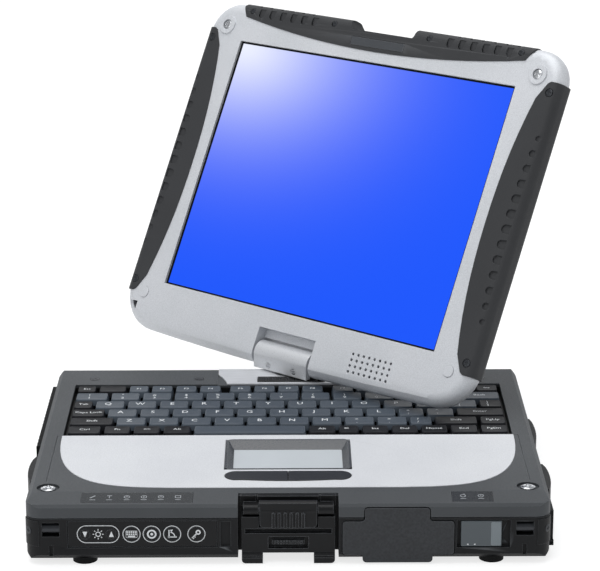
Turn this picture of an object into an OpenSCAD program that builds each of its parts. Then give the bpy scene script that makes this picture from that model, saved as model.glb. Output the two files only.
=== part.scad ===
// Rugged convertible laptop: a thick base with keyboard and handle bay, and a
// display lid that swivels on a turret and tilts on a friction barrel.
// Origin: centre of the base's footprint on the table. +Z up, front of the base at -Y.

/* [Base] */
// Width of the base, left to right
body_w = 271; // [266:1:280]
// Depth of the base, front to back
body_d = 216; // [212:1:222]
// Height of the deck above the table
deck_z = 35; // [34.5:0.1:35.5]
// Height of the rubber feet
foot_h = 3; // [2:0.25:4]
// Height of the parting line between the two cases
split_z = 26; // [25:0.25:27]
// Radius of the base's upright corners
corner_r = 8; // [5:0.5:10]
// Thickness of the side and rear walls
wall = 2.2; // [1.8:0.1:2.6]
// Thickness of the front wall
front_wall = 5; // [4.6:0.1:5.6]
// Thickness of the deck and of the case floor
deck_t = 2; // [1.6:0.1:2.2]
// Bevel along the deck's side and rear edges
edge_bevel = 2.4; // [1.5:0.1:3]
// Distance from the front face to where the deck starts to slope down
slope_run = 15; // [14:0.5:16]
// Drop of the deck over that slope
slope_drop = 1.8; // [1.2:0.1:2.2]
// Depth of the groove along the parting line
groove = 0.5; // [0.3:0.1:0.8]

/* [Keyboard] */
// Distance from the side of the base to the key well
well_side_gap = 11.5; // [10:0.25:14]
// Depth of the key well
well_d = 88; // [86:0.5:90]
// Distance from the rear edge of the base to the key well
well_back_gap = 29; // [28:0.5:30]
// Front-to-back pitch of the five lower rows
row_pitch = 14.2; // [13.8:0.1:14.5]
// Front-to-back pitch of the function row
function_pitch = 12.6; // [12:0.1:13]
// Gap between neighbouring keycaps
key_gap = 1; // [0.6:0.1:1.4]
// Height of a keycap
key_h = 3.5; // [3:0.1:3.8]
// How far a keycap's top lies below the deck
key_sink = 0.3; // [0.1:0.1:0.8]
// Travel of a key
key_travel = 1.6; // [1:0.1:1.8]
// Side of a key's square stem
stem_w = 3; // [2:0.1:3.4]

/* [Palm rest and touchpad] */
// Distance from the side of the base to the palm rest plate
palm_side_gap = 11; // [9:0.25:13]
// Distance from the front of the base to the palm rest plate
palm_front_gap = 19; // [18:0.5:21]
// Thickness of the palm rest plate
palm_t = 1.1; // [0.8:0.1:1.3]
// Width of the touchpad frame
pad_w = 67.6; // [62:0.5:72]
// Distance from the front of the base to the touchpad's buttons
pad_front_gap = 28.4; // [28:0.1:30]
// Distance from the key well to the touchpad frame
pad_gap = 7.6; // [7:0.2:8.5]
// Depth of the button bar in front of the touchpad
button_d = 14; // [12:0.5:15]
// Travel of the touchpad buttons
touch_travel = 0.8; // [0.5:0.1:0.9]

/* [Front face] */
// Half width of the latch bay
bay_half = 26; // [24:0.5:27]
// Depth of the latch bay
bay_d = 12.6; // [12:0.2:13.2]
// Half width of the latch lever
latch_half = 14.8; // [13:0.2:15.2]
// Radius of the latch lever's barrel
latch_r = 2.6; // [2.2:0.1:2.8]
// Radius of the latch pin
latch_pin_r = 1.1; // [0.9:0.1:1.3]
// Radius of the round push buttons
button_r = 4; // [3.6:0.1:4.2]
// Travel of the round push buttons
button_travel = 0.6; // [0.4:0.1:0.8]
// Travel of the power switch
power_travel = 3.4; // [2:0.2:3.6]

/* [Hinge] */
// Distance from the rear edge of the base to the swivel axis
pivot_gap = 8; // [7.5:0.25:9]
// Height of the tilt axis
hinge_z = 44; // [43.8:0.1:44.6]
// Radius of the hinge barrel
barrel_r = 7.2; // [6.4:0.1:7.4]
// Gap between the hinge barrel's ends and the sides of the notch in the lid
barrel_gap = 1.5; // [1:0.1:3]
// Radius of the hinge shafts
shaft_r = 2.4; // [2:0.1:2.8]
// Radius of the swivel post
post_r = 4; // [3.4:0.1:4.2]
// Running clearance of shafts and pins in their bores
run_fit = 0.05; // [0.03:0.01:0.08]
// Travel of the swivel release slider
release_travel = 4; // [2:0.5:5]
// Turn of the lid away from the laptop position
open_swivel = 41.4; // [0:0.1:180]
// Lean of the lid behind upright
open_tilt = 27; // [-90:1:90]

/* [Lid] */
// How far the lid's sides lie inside the sides of the base
lid_side_gap = 0.5; // [0:0.1:1.5]
// How far the closed lid's front edge lies behind the front of the base
lid_front_gap = 0.6; // [0:0.1:1.5]
// Distance from the hinge axis to the lid's lower edge
lid_edge = 7.4; // [6.8:0.1:7.5]
// Thickness of the lid
lid_t = 14; // [12.8:0.1:14]
// Radius around the lid's edges
lid_round = 6.2; // [4.5:0.1:6.4]
// Thickness of the lid shells
lid_shell = 1.6; // [1.2:0.1:1.8]
// Width of the lid's frame beside the screen
bezel_side = 29.4; // [28.5:0.1:31]
// Width of the lid's frame above the screen
bezel_top = 24.2; // [23.5:0.1:26]
// Distance from the hinge axis to the screen
bezel_low = 24.8; // [24:0.1:26]
// Thickness of the bumper skins
bumper_t = 2.1; // [1.6:0.1:2.4]
// How far the bumpers stand proud of the lid
bumper_proud = 0.5; // [0.3:0.1:0.6]
// Pitch of the pockets in the side bumpers
pocket_pitch = 9; // [8:0.1:9.6]
// Depth of the bumpers' pockets
pocket_d = 1; // [0.6:0.1:1.2]
// Width of the notch for the hinge barrel
notch_w = 44; // [43:0.25:46]
// Height of the notch above the hinge axis
notch_up = 13.6; // [12:0.2:15]
// Width of the recess for the latch
recess_w = 50; // [46:0.5:54]
// Depth of the recess for the latch
recess_d = 6; // [5:0.2:6.5]

/* [Hidden] */
$fn = 48;
ARC_STEPS = 8;
EPS = 0.01;
BIG = 400;

// Derived places of the base
half_w = body_w / 2;
half_d = body_d / 2;
pivot_y = half_d - pivot_gap;
case_z0 = foot_h;
inner_z0 = foot_h + deck_t;
deck_under = deck_z - deck_t;
slope_y = -half_d + slope_run;
crease_y = -half_d + 1.4;
crease_z = deck_z - slope_drop;
slope_angle = atan(slope_drop / (slope_run - 1.4));
bottom_bevel = 2.6;

// Key well and rows: each list gives the keys' widths from left to right, a minus marks a gap
well_x = half_w - well_side_gap;
well_y1 = half_d - well_back_gap;
well_y0 = well_y1 - well_d;
tray_wall = 2.4;
tray_floor = 2;
key_z1 = deck_z - key_sink;
key_z0 = key_z1 - key_h;
tray_top = key_z0 - key_travel - 0.3;
key_margin = 1;
key_inset = 0.9;
row_margin = 0.8;
row_f = [12.5, 17.5, 13, 14, 14, 14, -3.5, 14, 14, 14, 14, -3.5, 14, 14, 14, 14, 14, 14, 14];
row_n = [20.2, 18.3, 18.3, 18.3, 18.3, 18.3, 18.3, 18.3, 18.3, 18.3, 18.3, 18.3, 24.5];
row_q = [12.3, 18.3, 18.3, 18.3, 18.3, 18.3, 18.3, 18.3, 18.3, 18.3, 18.3, 18.3, 18.3, 14.1];
row_a = [20.2, 18.3, 18.3, 18.3, 18.3, 18.3, 18.3, 18.3, 18.3, 18.3, 16, 17, 28.1];
row_z = [26, 18.3, 18.3, 18.3, 18.3, 18.3, 18.3, 18.3, 18.3, 18.3, 14, 25.5, 15.8];
row_b = [20, 16.4, 16.6, 17, 63.8, 16.6, 13, 16.4, 16.4, 16.4, 16.8, 16.6];
rows = [row_f, row_n, row_q, row_a, row_z, row_b];
space_i = 4;
enter_i = len(row_a) - 1;

// Palm rest, touchpad and its buttons
palm_z1 = deck_z + 0.3;
palm_z0 = palm_z1 - palm_t;
palm_y1 = well_y0;
palm_w = body_w - 2 * palm_side_gap;
palm_d = well_y0 + half_d - palm_front_gap;
button_y0 = -half_d + pad_front_gap;
button_y1 = button_y0 + button_d;
button_bar_gap = 3.2;
pad_y0 = button_y1 + button_bar_gap;
pad_y1 = well_y0 - pad_gap;
pad_d = pad_y1 - pad_y0;
pad_x = pad_w / 2;
pad_rim = 1.2;
slope_side = 4.6;
slope_back = 9;
pad_drop = 2.4;
pad_top = deck_z - pad_drop;
pad_t = 1.4;
flange_t = 2.6;
flange_margin = 3;
touch_gap = 0.35;
touch_z0 = deck_under + 0.6;
touch_z1 = deck_z + 0.6;
module_y0 = button_y0 - 1.6;
module_y1 = pad_y1 + 1.6;
module_x = pad_x + 1.6;

// Front face, from left to right
bay_y = -half_d + bay_d;
latch_y = -half_d + 3.5;
latch_z = split_z + 3.1;
latch_drop = 9.2;
latch_front = 2.4;
latch_hood_r = 4.8;
latch_corner = 2.2;
latch_rib_w = 1.6;
latch_rib_pitch = 3.05;
latch_rib_out = 3.6;
latch_ribs = 6;
knuckle_gap = 0.5;
cradle_x = bay_half - 1.9;
cradle_y = -half_d + 2.4;
cradle_z0 = 5.6;
cradle_mid = 19.6;
cradle_z1 = 25.4;
stop_run = 3.6;
knuckle_x = cradle_x - 0.8;
slit_z = [16.4, 18.8];
socket_x = 10.4;
socket_z = [8, 14.4];
socket_d = 2.6;
socket_mid = 11;
contact_n = 10;
contact_pitch = 1.5;
leg_x = 13.2;
leg_y = -half_d + 0.6;
leg_z0 = 0.4;
leg_step = 3.4;
leg_r = 2;
panel_x0 = -half_w + 22;
panel_x1 = -bay_half - 10.85;
panel_z0 = 10;
panel_z1 = 24.2;
panel_t = 1.2;
panel_sink = 0.4;
button_z = 17;
// Places of the buttons as shares of the panel's width
function panel_at(share) = panel_x0 + share * (panel_x1 - panel_x0);
pill_x = panel_at(0.2029);
pill_step = 6.8;
pill_r = 2.6;
button_xs = [for (share = [0.4273, 0.563, 0.6999, 0.863]) panel_at(share)];
button_proud = 0.15;
button_gap = 0.25;
cover_x0 = bay_half + 2;
cover_x1 = half_w - 50;
neck_x0 = cover_x0 + 11.5;
neck_x1 = cover_x1 - 12.7;
cover_z0 = 5.3;
cover_step = 23.7;
cover_z1 = 31;
cover_t = 1.6;
cover_r = 1.5;
cover_fillet = 1.8;
cover_groove = 0.6;
tab_x0 = cover_x0 + 10.3;
tab_x1 = cover_x1 - 11;
tab_z0 = foot_h - 2;
tab_r = 2;
power_x0 = half_w - 48.5;
power_x1 = half_w - 21;
power_z0 = 9.2;
power_z1 = 24.2;
power_sink = 2.4;
power_w = power_x1 - power_x0 - power_travel - 3.1;
pocket_xs = [-half_w + 13.1, half_w - 13.5];
pocket_w = 9;
pocket_z0 = 15.8;
pocket_z1 = 23.4;
slot_z0 = 5;
slot_z1 = 11;
strap_bar_r = 2.8;
strap_bar_y = -half_d + 3.2;
pocket_depth = 8;
pocket_back = 2.2;
bore_depth = front_wall + button_travel + 2.4;
bore_gap = 0.6;
recess_x = panel_x1 + 4.45;
recess_half = 2.7;
window_y0 = -half_d + 2.6;
window_y1 = slope_y - 1.2;
window_t = 0.8;
windows = [[-half_w + 28.5, -bay_half - 23], [half_w - 51.1, half_w - 29.5]];

// Screws, feet and the covers under the base
corner_screw_x = half_w - 10.5;
corner_screw_y = half_d - 20.5;
screw_recess_r = 6;
screw_head_r = 4;
plate_x = 41;
deck_screws = [for (s = [-1, 1], x = [plate_x + 11, half_w - 22.1]) [s * x, half_d - 19]];
deck_screw_r = 2.8;
rail_x = half_w - 8.5;
rail_y0 = -half_d + 28;
seam_w = 0.5;
guard_z = [10.5, split_z - 1.5];
guard_t = 0.4;
guard_side = 7;
foot_r = 6.5;
foot_x = half_w - 30;
foot_y = half_d - 8;
hatch_lo = [-52, -62];
hatch_hi = [40, 12];
hatch_lip = 4;
hatch_t = 1.2;
hatch_fit = 0.3;
bottom_screw_xy = concat(
    [for (x = [-1, 1], y = [-1, 1]) [x * (half_w - 10.5), y * (half_d - 10)]],
    [[0, half_d - 24], [hatch_lo.x - 10, -25], [hatch_hi.x + 10, -25]]);
bottom_screw_r = 2.6;

// Side covers: each has two stub pins that turn in ears on the lower case
door_gap = 0.3;
door_axis_in = 1.1;
door_drop = 0.7;
door_t = 2.2;
door_z = 7;
door_z1 = 24;
left_cover_z1 = 31;
stub_r = 0.8;
stub_l = 1.6;
ear_w = 2.2;
left_cover_y = [-0.13 * half_d, 0.81 * half_d];
drive_door_y = [-0.875 * half_d, -0.29 * half_d];
battery_door_y = [-0.23 * half_d, 0.435 * half_d];
lug_out = 2.6;
drive_lug_out = 3.3;
lug_half = 18.5;
lug_z = [12, 31];
left_lug_out = 3.6;
left_lug_z = [19.5, 31];
drive_lug_y = -0.583 * half_d;
battery_lug_y = 0.088 * half_d;
left_lug_y = -0.45 * half_d;
rib_out = 0.6;
rib_half = 1.1;
rib_pitch = 5.2;
opening_margin = 4;
opening_z1 = 22;
socket_ys = [for (share = [0.17, 0.5, 0.83]) left_cover_y[0] + share * (left_cover_y[1] - left_cover_y[0])];
socket_half = [6.3, 8];
rear_x0 = -half_w + 35.5;
rear_x1 = -40;
rear_z0 = 8.3;
rear_z1 = 22;
rear_t = 1.6;
rear_frame_t = 3;
rear_pin_r = 0.6;
rear_sockets = [for (k = [-1 : 1]) (rear_x0 + rear_x1) / 2 + k * 0.2833 * (rear_x1 - rear_x0)];

// Docking bores and connector, charging socket and lock slot
dock_x = half_w - 17.5;
dock_y = half_d - 8;
dock_r = 3;
dock_l = 5;
plug_x = 22;
plug_y0 = half_d - 50;
plug_y1 = half_d - 38;
jack_y = -half_d + 48;
jack_z = 14;
jack_r = 2.8;
jack_l = 10;
jack_hole_r = 4.2;
lock_y = -half_d + 24;
lock_z = 12;
lock_w = 7;
lock_h = 3;

// Inner parts
bay_x0 = half_w - 73.5;
bay_x1 = half_w - wall - 1.5;
bay_z0 = inner_z0 + 1.7;
board_z = 8.4;
board_t = 1.6;
board_x0 = -half_w + 17.5;
board_x1 = bay_x0 - 7;
board_y0 = -half_d + 16;
board_y1 = half_d - 26;
board_top = board_z + board_t;
standoff_in = 6;
// Chips: place along and across the board as shares of its size, and side of the square
chips = [[0.451, 0.644, 30], [0.74, 0.701, 24], [0.277, 0.759, 16], [0.566, 0.356, 20],
         [0.855, 0.299, 14], [0.162, 0.414, 22]];
chip_h = 2;
// Memory module in its socket, wireless card and heat plate
memory_in = [28, 17];
memory_w = 68;
memory_d = 31;
memory_socket = 5;
card_in = [35, 32];
card_size = [30, 26, 4];
heat_lo = [-16, -18];
heat_hi = [64, 26];
heat_foot = 28;
drive_y0 = drive_door_y[0] + opening_margin + 0.5;
drive_y1 = drive_door_y[1] - opening_margin - 0.5;
drive_h = 9.5;
battery_h = 15;

// Hinge
turret_z0 = deck_z + 0.7;
saddle_z0 = deck_z + 1.3;
barrel_half = notch_w / 2 - barrel_gap;
saddle_half = barrel_half - 1.5;
saddle_y = 4.2;
barrel_room = 1.4;
disc_r = 8;
neck_r = 3.2;
plate_t = 1;
plate_y0 = well_y1;
plate_y1 = half_d - 2;
plate_proud = 0.4;
bearing_x = 20;
bearing_z0 = 24;
collar_r = 5.4;
collar_t = 2;
wire_r = 1.8;
skirt_z0 = saddle_z0 + 0.1 - hinge_z;
skirt_t = 3.4;
shaft_in = 8;
bracket_x0 = notch_w / 2 + 2;
bracket_x1 = bracket_x0 + 10;
shaft_out = bracket_x1 - 1;
bracket_up = 20;
barrel_screw_u = [-9, 10.5];
slider_x = 17.5;
slider_y0 = well_y1 + tray_wall + 0.4;
slider_y1 = pivot_y - disc_r - 1.2;

// Lid
lid_w = body_w - 2 * lid_side_gap;
lid_top = body_d - pivot_gap - lid_front_gap;
lid_x = lid_w / 2;
screen_w = lid_w - 2 * bezel_side;
screen_h = lid_top - bezel_top - bezel_low;
screen_up = bezel_low + screen_h / 2;
half_t = lid_t / 2;
corner_low = 25;
corner_top = 20;
edge_rise = 2.2;
ROUND_STEPS = 4;
cavity_in = 3.6;
glass_t = 1.4;
panel_margin = 2.4;
side_v0 = bezel_low - 8.8;
side_v1 = lid_top - 18.4;
side_end_u = lid_x - 10.5;
side_mid_u = lid_x - 21.4;
side_in = lid_x - bumper_t + bumper_proud;
face_in = half_t - bumper_t + bumper_proud;
side_screw_vs = [side_v0 + 7, side_v1 - 6.5];
pocket_mid = (side_v0 + side_v1) / 2 - 1;
top_half = lid_x - 24;
top_low = lid_top - 17.8;
top_end = lid_top - 7.9;
top_in = lid_top - bumper_t + bumper_proud;
top_screw_us = [top_half - 74.5, top_half - 8];
tooth_us = [for (k = [5 : -1 : 0]) top_half - 16 - 8.6 * k];
tooth_w = 2;
badge_half = 20;
badge_v0 = lid_top - 15.4;
badge_h = 5;
caps = [[-lid_x + 15.6, bezel_low - 8.4], [lid_x - 16, bezel_low - 8.6]];
cap_r = 3.5;
corner_pads = [[-lid_x + 15, lid_top - 15.4], [lid_x - 16.7, lid_top - 15.4]];
pad_boss_r = 6;
pad_boss_h = 0.8;
lid_screw_r = 3;
bumper_screw_r = 2.6;
grille_u0 = lid_x - 83.8;
grille_du = 4;
grille_n = 8;
grille_v0 = 1.4;
grille_dv = 3.5;
grille_m = 4;
grille_r = 0.85;
speaker_margin = 3;
speaker_v = [-2.5, 15];
lanyard_in = 12.5;
lanyard_v = 7.4;
lanyard_half = 2.4;
back_line_u = lid_x - 65;
back_line_v = [bezel_low - 0.8, lid_top - 27.4];
back_line_w = 1;

// ---------- helpers ----------
function arc(cx, cy, r, a0, a1, n = ARC_STEPS) =
    [for (i = [0 : n]) let (a = a0 + (a1 - a0) * i / n) [cx + r * cos(a), cy + r * sin(a)]];
function rr_points(w, d, r) = concat(
    arc(w / 2 - r, d / 2 - r, r, 0, 90), arc(r - w / 2, d / 2 - r, r, 90, 180),
    arc(r - w / 2, r - d / 2, r, 180, 270), arc(w / 2 - r, r - d / 2, r, 270, 360));
function sum_abs(list, n, i = 0) = i >= n ? 0 : abs(list[i]) + sum_abs(list, n, i + 1);

module rounded(w, d, r) polygon(rr_points(w, d, r));
module box(lo, hi) translate(lo) cube(hi - lo);
// 2D (x, z) carried from y0 to y1
module along_y(y0, y1) translate([0, y1, 0]) rotate([90, 0, 0]) linear_extrude(y1 - y0) children();
// 2D (y, z) carried from x0 to x1
module along_x(x0, x1) translate([x0, 0, 0]) rotate([90, 0, 90]) linear_extrude(x1 - x0) children();
module upright(z0, z1) translate([0, 0, z0]) linear_extrude(z1 - z0) children();
module rod_x(x0, x1, r) translate([x0, 0, 0]) rotate([0, 90, 0]) cylinder(r = r, h = x1 - x0);
module rod_y(y0, y1, r) translate([0, y0, 0]) rotate([-90, 0, 0]) cylinder(r = r, h = y1 - y0);
module mirrored_x() { children(); mirror([1, 0, 0]) children(); }
// Four-sided block whose sides lean in by in_x, in_front and in_back from bottom to top
module block(lo, hi, in_x, in_front, in_back) intersection() {
    along_y(lo.y - 1, hi.y + 1)
        polygon([[lo.x, lo.z], [hi.x, lo.z], [hi.x - in_x, hi.z], [lo.x + in_x, hi.z]]);
    along_x(lo.x - 1, hi.x + 1)
        polygon([[lo.y, lo.z], [hi.y, lo.z], [hi.y - in_back, hi.z], [lo.y + in_front, hi.z]]);
}
module slotted_head(r, h, slot = 0.8) difference() {
    cylinder(r = r, h = h);
    box([-r - 1, -slot / 2, h * 0.5], [r + 1, slot / 2, h + 1]);
    box([-slot / 2, -r - 1, h * 0.5], [slot / 2, r + 1, h + 1]);
}
module at_swivel() translate([0, pivot_y, hinge_z]) rotate([0, 0, -open_swivel]) children();
module at_lid() at_swivel() rotate([-open_tilt, 0, 0]) children();
// 2D (u, v) on the lid, carried from depth w0 to w1, where w grows out of the screen
module on_lid(w0, w1) translate([0, -w0, 0]) rotate([90, 0, 0]) linear_extrude(w1 - w0) children();
module lid_box(u0, v0, w0, u1, v1, w1) box([u0, -w1, v0], [u1, -w0, v1]);
module lid_rod(u, v, w0, w1, r) translate([u, -w0, v]) rotate([90, 0, 0]) cylinder(r = r, h = w1 - w0);

// ---------- base casings ----------
module case_outline() rounded(body_w, body_d, corner_r);
module inner_outline() rounded(body_w - 2 * wall, body_d - 2 * wall, corner_r - wall);
// T-shaped front cover grown by g all round; its corners are rounded
function cover_points(g) = concat(
    arc(cover_x0 + cover_r, cover_z0 + cover_r, cover_r + g, 180, 270, 4),
    arc(cover_x1 - cover_r, cover_z0 + cover_r, cover_r + g, 270, 360, 4),
    arc(cover_x1 - cover_r, cover_step - cover_r, cover_r + g, 0, 90, 4),
    arc(neck_x1 + cover_fillet, cover_step + cover_fillet, cover_fillet - g, 270, 180, 4),
    arc(neck_x1 - cover_r, cover_z1 - cover_r, cover_r + g, 0, 90, 4),
    arc(neck_x0 + cover_r, cover_z1 - cover_r, cover_r + g, 90, 180, 4),
    arc(neck_x0 - cover_fillet, cover_step + cover_fillet, cover_fillet - g, 0, -90, 4),
    arc(cover_x0 + cover_r, cover_step - cover_r, cover_r + g, 90, 180, 4));
module bay_space() box([-bay_half, -half_d - 5, case_z0 - 5], [bay_half, bay_y, deck_z + 5]);
module cover_recess() {
    along_y(-half_d - 5, -half_d + cover_t) polygon(cover_points(cover_groove));
    box([tab_x0 - cover_groove, -half_d - 5, 0], [tab_x1 + cover_groove, -half_d + cover_t, cover_z0 + 1]);
}

module lower_outer() intersection() {
    upright(case_z0, split_z) case_outline();
    along_x(-BIG, BIG) polygon([
        [-half_d - 5, split_z + 5], [-half_d - 5, case_z0 + bottom_bevel + 5],
        [-half_d + bottom_bevel, case_z0], [-half_d + bottom_bevel + 1, case_z0 - 1],
        [half_d - bottom_bevel - 1, case_z0 - 1], [half_d - bottom_bevel, case_z0],
        [half_d + 5, case_z0 + bottom_bevel + 5], [half_d + 5, split_z + 5]]);
    along_y(-BIG, BIG) polygon([
        [-half_w - 5, split_z + 5], [-half_w - 5, case_z0 + bottom_bevel + 5],
        [-half_w + bottom_bevel, case_z0], [-half_w + bottom_bevel + 1, case_z0 - 1],
        [half_w - bottom_bevel - 1, case_z0 - 1], [half_w - bottom_bevel, case_z0],
        [half_w + 5, case_z0 + bottom_bevel + 5], [half_w + 5, split_z + 5]]);
}
module parting_groove() upright(split_z - groove, split_z + 1) difference() {
    rounded(body_w + 4, body_d + 4, corner_r + 2);
    rounded(body_w - 2 * groove, body_d - 2 * groove, corner_r - groove);
}
module ear(side, y0) box([side > 0 ? half_w - 1 : -half_w - 2.6, y0, door_z - 1.4],
                         [side > 0 ? half_w + 2.6 : -half_w + 1, y0 + ear_w, door_z + 1.4]);
module door_axis(side) translate([side * (half_w + door_gap + door_axis_in), 0, door_z]) children();
// Grip lug on a side face: a shallow arc in plan, out from the face at x = from
module lug(side, y, zs, from, out) upright(zs[0], zs[1]) polygon([for (k = [0 : ARC_STEPS])
    let (t = 2 * k / ARC_STEPS - 1) [side * (from + out * sqrt(1 - 0.9 * t * t)), y + lug_half * t],
    for (t = [1, -1]) [side * from, y + lug_half * t]]);
module ears(side, ys) difference() {
    union() {
        ear(side, ys[0] - door_gap - ear_w);
        ear(side, ys[1] + door_gap);
    }
    door_axis(side) rod_y(ys[0] - 10, ys[1] + 10, stub_r + run_fit);
}
module door_bay(side, ys) box(
    [side > 0 ? half_w - wall - 1 : -half_w - 1, ys[0] + opening_margin, door_z + 1],
    [side > 0 ? half_w + 1 : -half_w + wall + 1, ys[1] - opening_margin, opening_z1]);

module strap_bar(x) translate([0, strap_bar_y, (pocket_z0 + pocket_z1) / 2])
    rod_x(x - pocket_w / 2 - 1.2, x + pocket_w / 2 + 1.2, strap_bar_r);

module lower_case() color("#2b2c2f") {
    difference() {
        union() {
            difference() {
                lower_outer();
                difference() {
                    upright(inner_z0, split_z + 5) inner_outline();
                    box([-BIG, -BIG, 0], [BIG, -half_d + front_wall, BIG]);
                    box([-bay_half - wall, -BIG, 0], [bay_half + wall, bay_y + wall, BIG]);
                }
            }
            // frame behind the rear port cover, bosses and standoffs on the floor
            box([rear_x0 - 4, half_d - wall - rear_frame_t, inner_z0 - 1],
                [rear_x1 + 4, half_d - wall + 1, split_z - 1]);
            for (x = [-dock_x, dock_x])
                translate([x, dock_y, case_z0 + 0.5]) cylinder(r = dock_r + 2, h = 5.5);
            for (x = pocket_xs) box([x - pocket_w / 2 - 2, -half_d + front_wall - 1, pocket_z0 - 2],
                [x + pocket_w / 2 + 2, -half_d + pocket_depth + pocket_back, split_z - 1]);
            for (x = [board_x0 + standoff_in, board_x1 - standoff_in],
                 y = [board_y0 + standoff_in, board_y1 - standoff_in])
                translate([x, y, inner_z0 - 1]) cylinder(r = 3, h = board_z - inner_z0 + 1);
        }
        bay_space();
        parting_groove();
        cover_recess();
        // pocket of the push-button panel, with the holes behind it
        box([panel_x0 - 0.3, -half_d - 5, panel_z0 - 0.3],
            [panel_x1 + 0.3, -half_d + panel_sink + panel_t, panel_z1 + 0.3]);
        for (x = button_xs) translate([x, 0, button_z])
            rod_y(-half_d - 1, -half_d + bore_depth, button_r + bore_gap);
        for (s = [-1, 1]) translate([pill_x + s * pill_step, 0, button_z])
            rod_y(-half_d - 1, -half_d + bore_depth, pill_r + bore_gap);
        // power switch, narrow recess, strap pockets and slots
        box([power_x0, -half_d - 5, power_z0], [power_x1, -half_d + power_sink, power_z1]);
        box([power_x0 + 4, -half_d - 5, power_z0 + 5], [power_x1 - 4, -half_d + bore_depth, power_z1 - 5]);
        box([recess_x - recess_half, -half_d - 5, panel_z0],
            [recess_x + recess_half, -half_d + 1.2, panel_z1 - 0.3]);
        for (x = pocket_xs) {
            box([x - pocket_w / 2, -half_d - 5, pocket_z0],
                [x + pocket_w / 2, -half_d + pocket_depth, pocket_z1]);
            box([x - 1, -half_d - 5, slot_z0], [x + 1, -half_d + 1.5, slot_z1]);
            strap_bar(x);
        }
        // side door bays, rear port opening, docking bores
        door_bay(-1, left_cover_y);
        door_bay(1, drive_door_y);
        door_bay(1, battery_door_y);
        box([rear_x0 - 0.4, half_d - rear_t - 0.5, rear_z0 - 0.7],
            [rear_x1 + 0.4, half_d + 5, rear_z1 + 0.4]);
        box([rear_x0 + 4, half_d - 10, rear_z0 + 2], [rear_x1 - 4, half_d + 5, rear_z1 - 2]);
        translate([0, half_d - rear_t / 2 - 0.1, rear_z0 + rear_t / 2 - 0.1])
            rod_x(rear_x0 - 1.6, rear_x1 + 1.6, rear_pin_r + run_fit);
        for (x = [-dock_x, dock_x]) translate([x, dock_y, case_z0 - 1]) cylinder(r = dock_r, h = dock_l + 1);
        // charging socket hole and lock slot
        translate([0, jack_y, jack_z]) rod_x(-half_w - 5, -half_w + wall + 1, jack_hole_r);
        box([-half_w - 5, lock_y - lock_w / 2, lock_z - lock_h / 2],
            [-half_w + wall + 1, lock_y + lock_w / 2, lock_z + lock_h / 2]);
        // bottom cover recess and its opening, dock connector opening, fastener holes
        box([hatch_lo.x, hatch_lo.y, case_z0 - 5], [hatch_hi.x, hatch_hi.y, case_z0 + hatch_t]);
        box([hatch_lo.x + hatch_lip, hatch_lo.y + hatch_lip, case_z0 - 5],
            [hatch_hi.x - hatch_lip, hatch_hi.y - hatch_lip, case_z0 + 5]);
        box([-plug_x, plug_y0, case_z0 - 5], [plug_x, plug_y1, case_z0 + 5]);
        for (p = bottom_screw_xy)
            translate([p.x, p.y, case_z0 - 1]) cylinder(r = bottom_screw_r + 0.2, h = 2.2);
        for (x = [-foot_x, foot_x], y = [-foot_y, foot_y])
            translate([x, y, case_z0 - 1]) cylinder(r = foot_r, h = 1.6);
    }
    ears(-1, left_cover_y);
    ears(1, drive_door_y);
    ears(1, battery_door_y);
}

module upper_outer() intersection() {
    upright(split_z, deck_z + 5) case_outline();
    along_x(-BIG, BIG) polygon([
        [-half_d - 5, split_z - 5], [-half_d - 5, crease_z - 7.4], [crease_y, crease_z],
        [slope_y, deck_z], [half_d - edge_bevel, deck_z], [half_d + 5, deck_z - edge_bevel - 5],
        [half_d + 5, split_z - 5]]);
    along_y(-BIG, BIG) polygon([
        [-half_w - 5, split_z - 5], [-half_w - 5, deck_z - edge_bevel - 5], [-half_w + edge_bevel, deck_z],
        [half_w - edge_bevel, deck_z], [half_w + 5, deck_z - edge_bevel - 5], [half_w + 5, split_z - 5]]);
}
// Front corners of the palm rest follow |x/a|^7 + |y/b|^2.4 = 1
function palm_point(a, g) = [
    (palm_w / 2 + g) * pow(abs(cos(a)), 2 / 7) * sign(cos(a)),
    palm_y1 - (palm_d + g) * pow(abs(sin(a)), 2 / 2.4)];
function palm_points(g = 0) = [for (i = [0 : 40]) palm_point(i * 4.5, g)];
module module_opening(z0, z1, g = 0)
    box([-module_x - g, module_y0 - g, z0], [module_x + g, module_y1 + g, z1]);
module slider_opening()
    box([-slider_x - 0.3, slider_y0 - 0.3, 0], [slider_x + release_travel + 0.3, slider_y1 + 0.3, BIG]);
module window_place() translate([0, crease_y, crease_z]) rotate([slope_angle, 0, 0]) children();
module screw_place() for (s = [-1, 1]) translate([s * corner_screw_x, -corner_screw_y, 0]) children();

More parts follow.
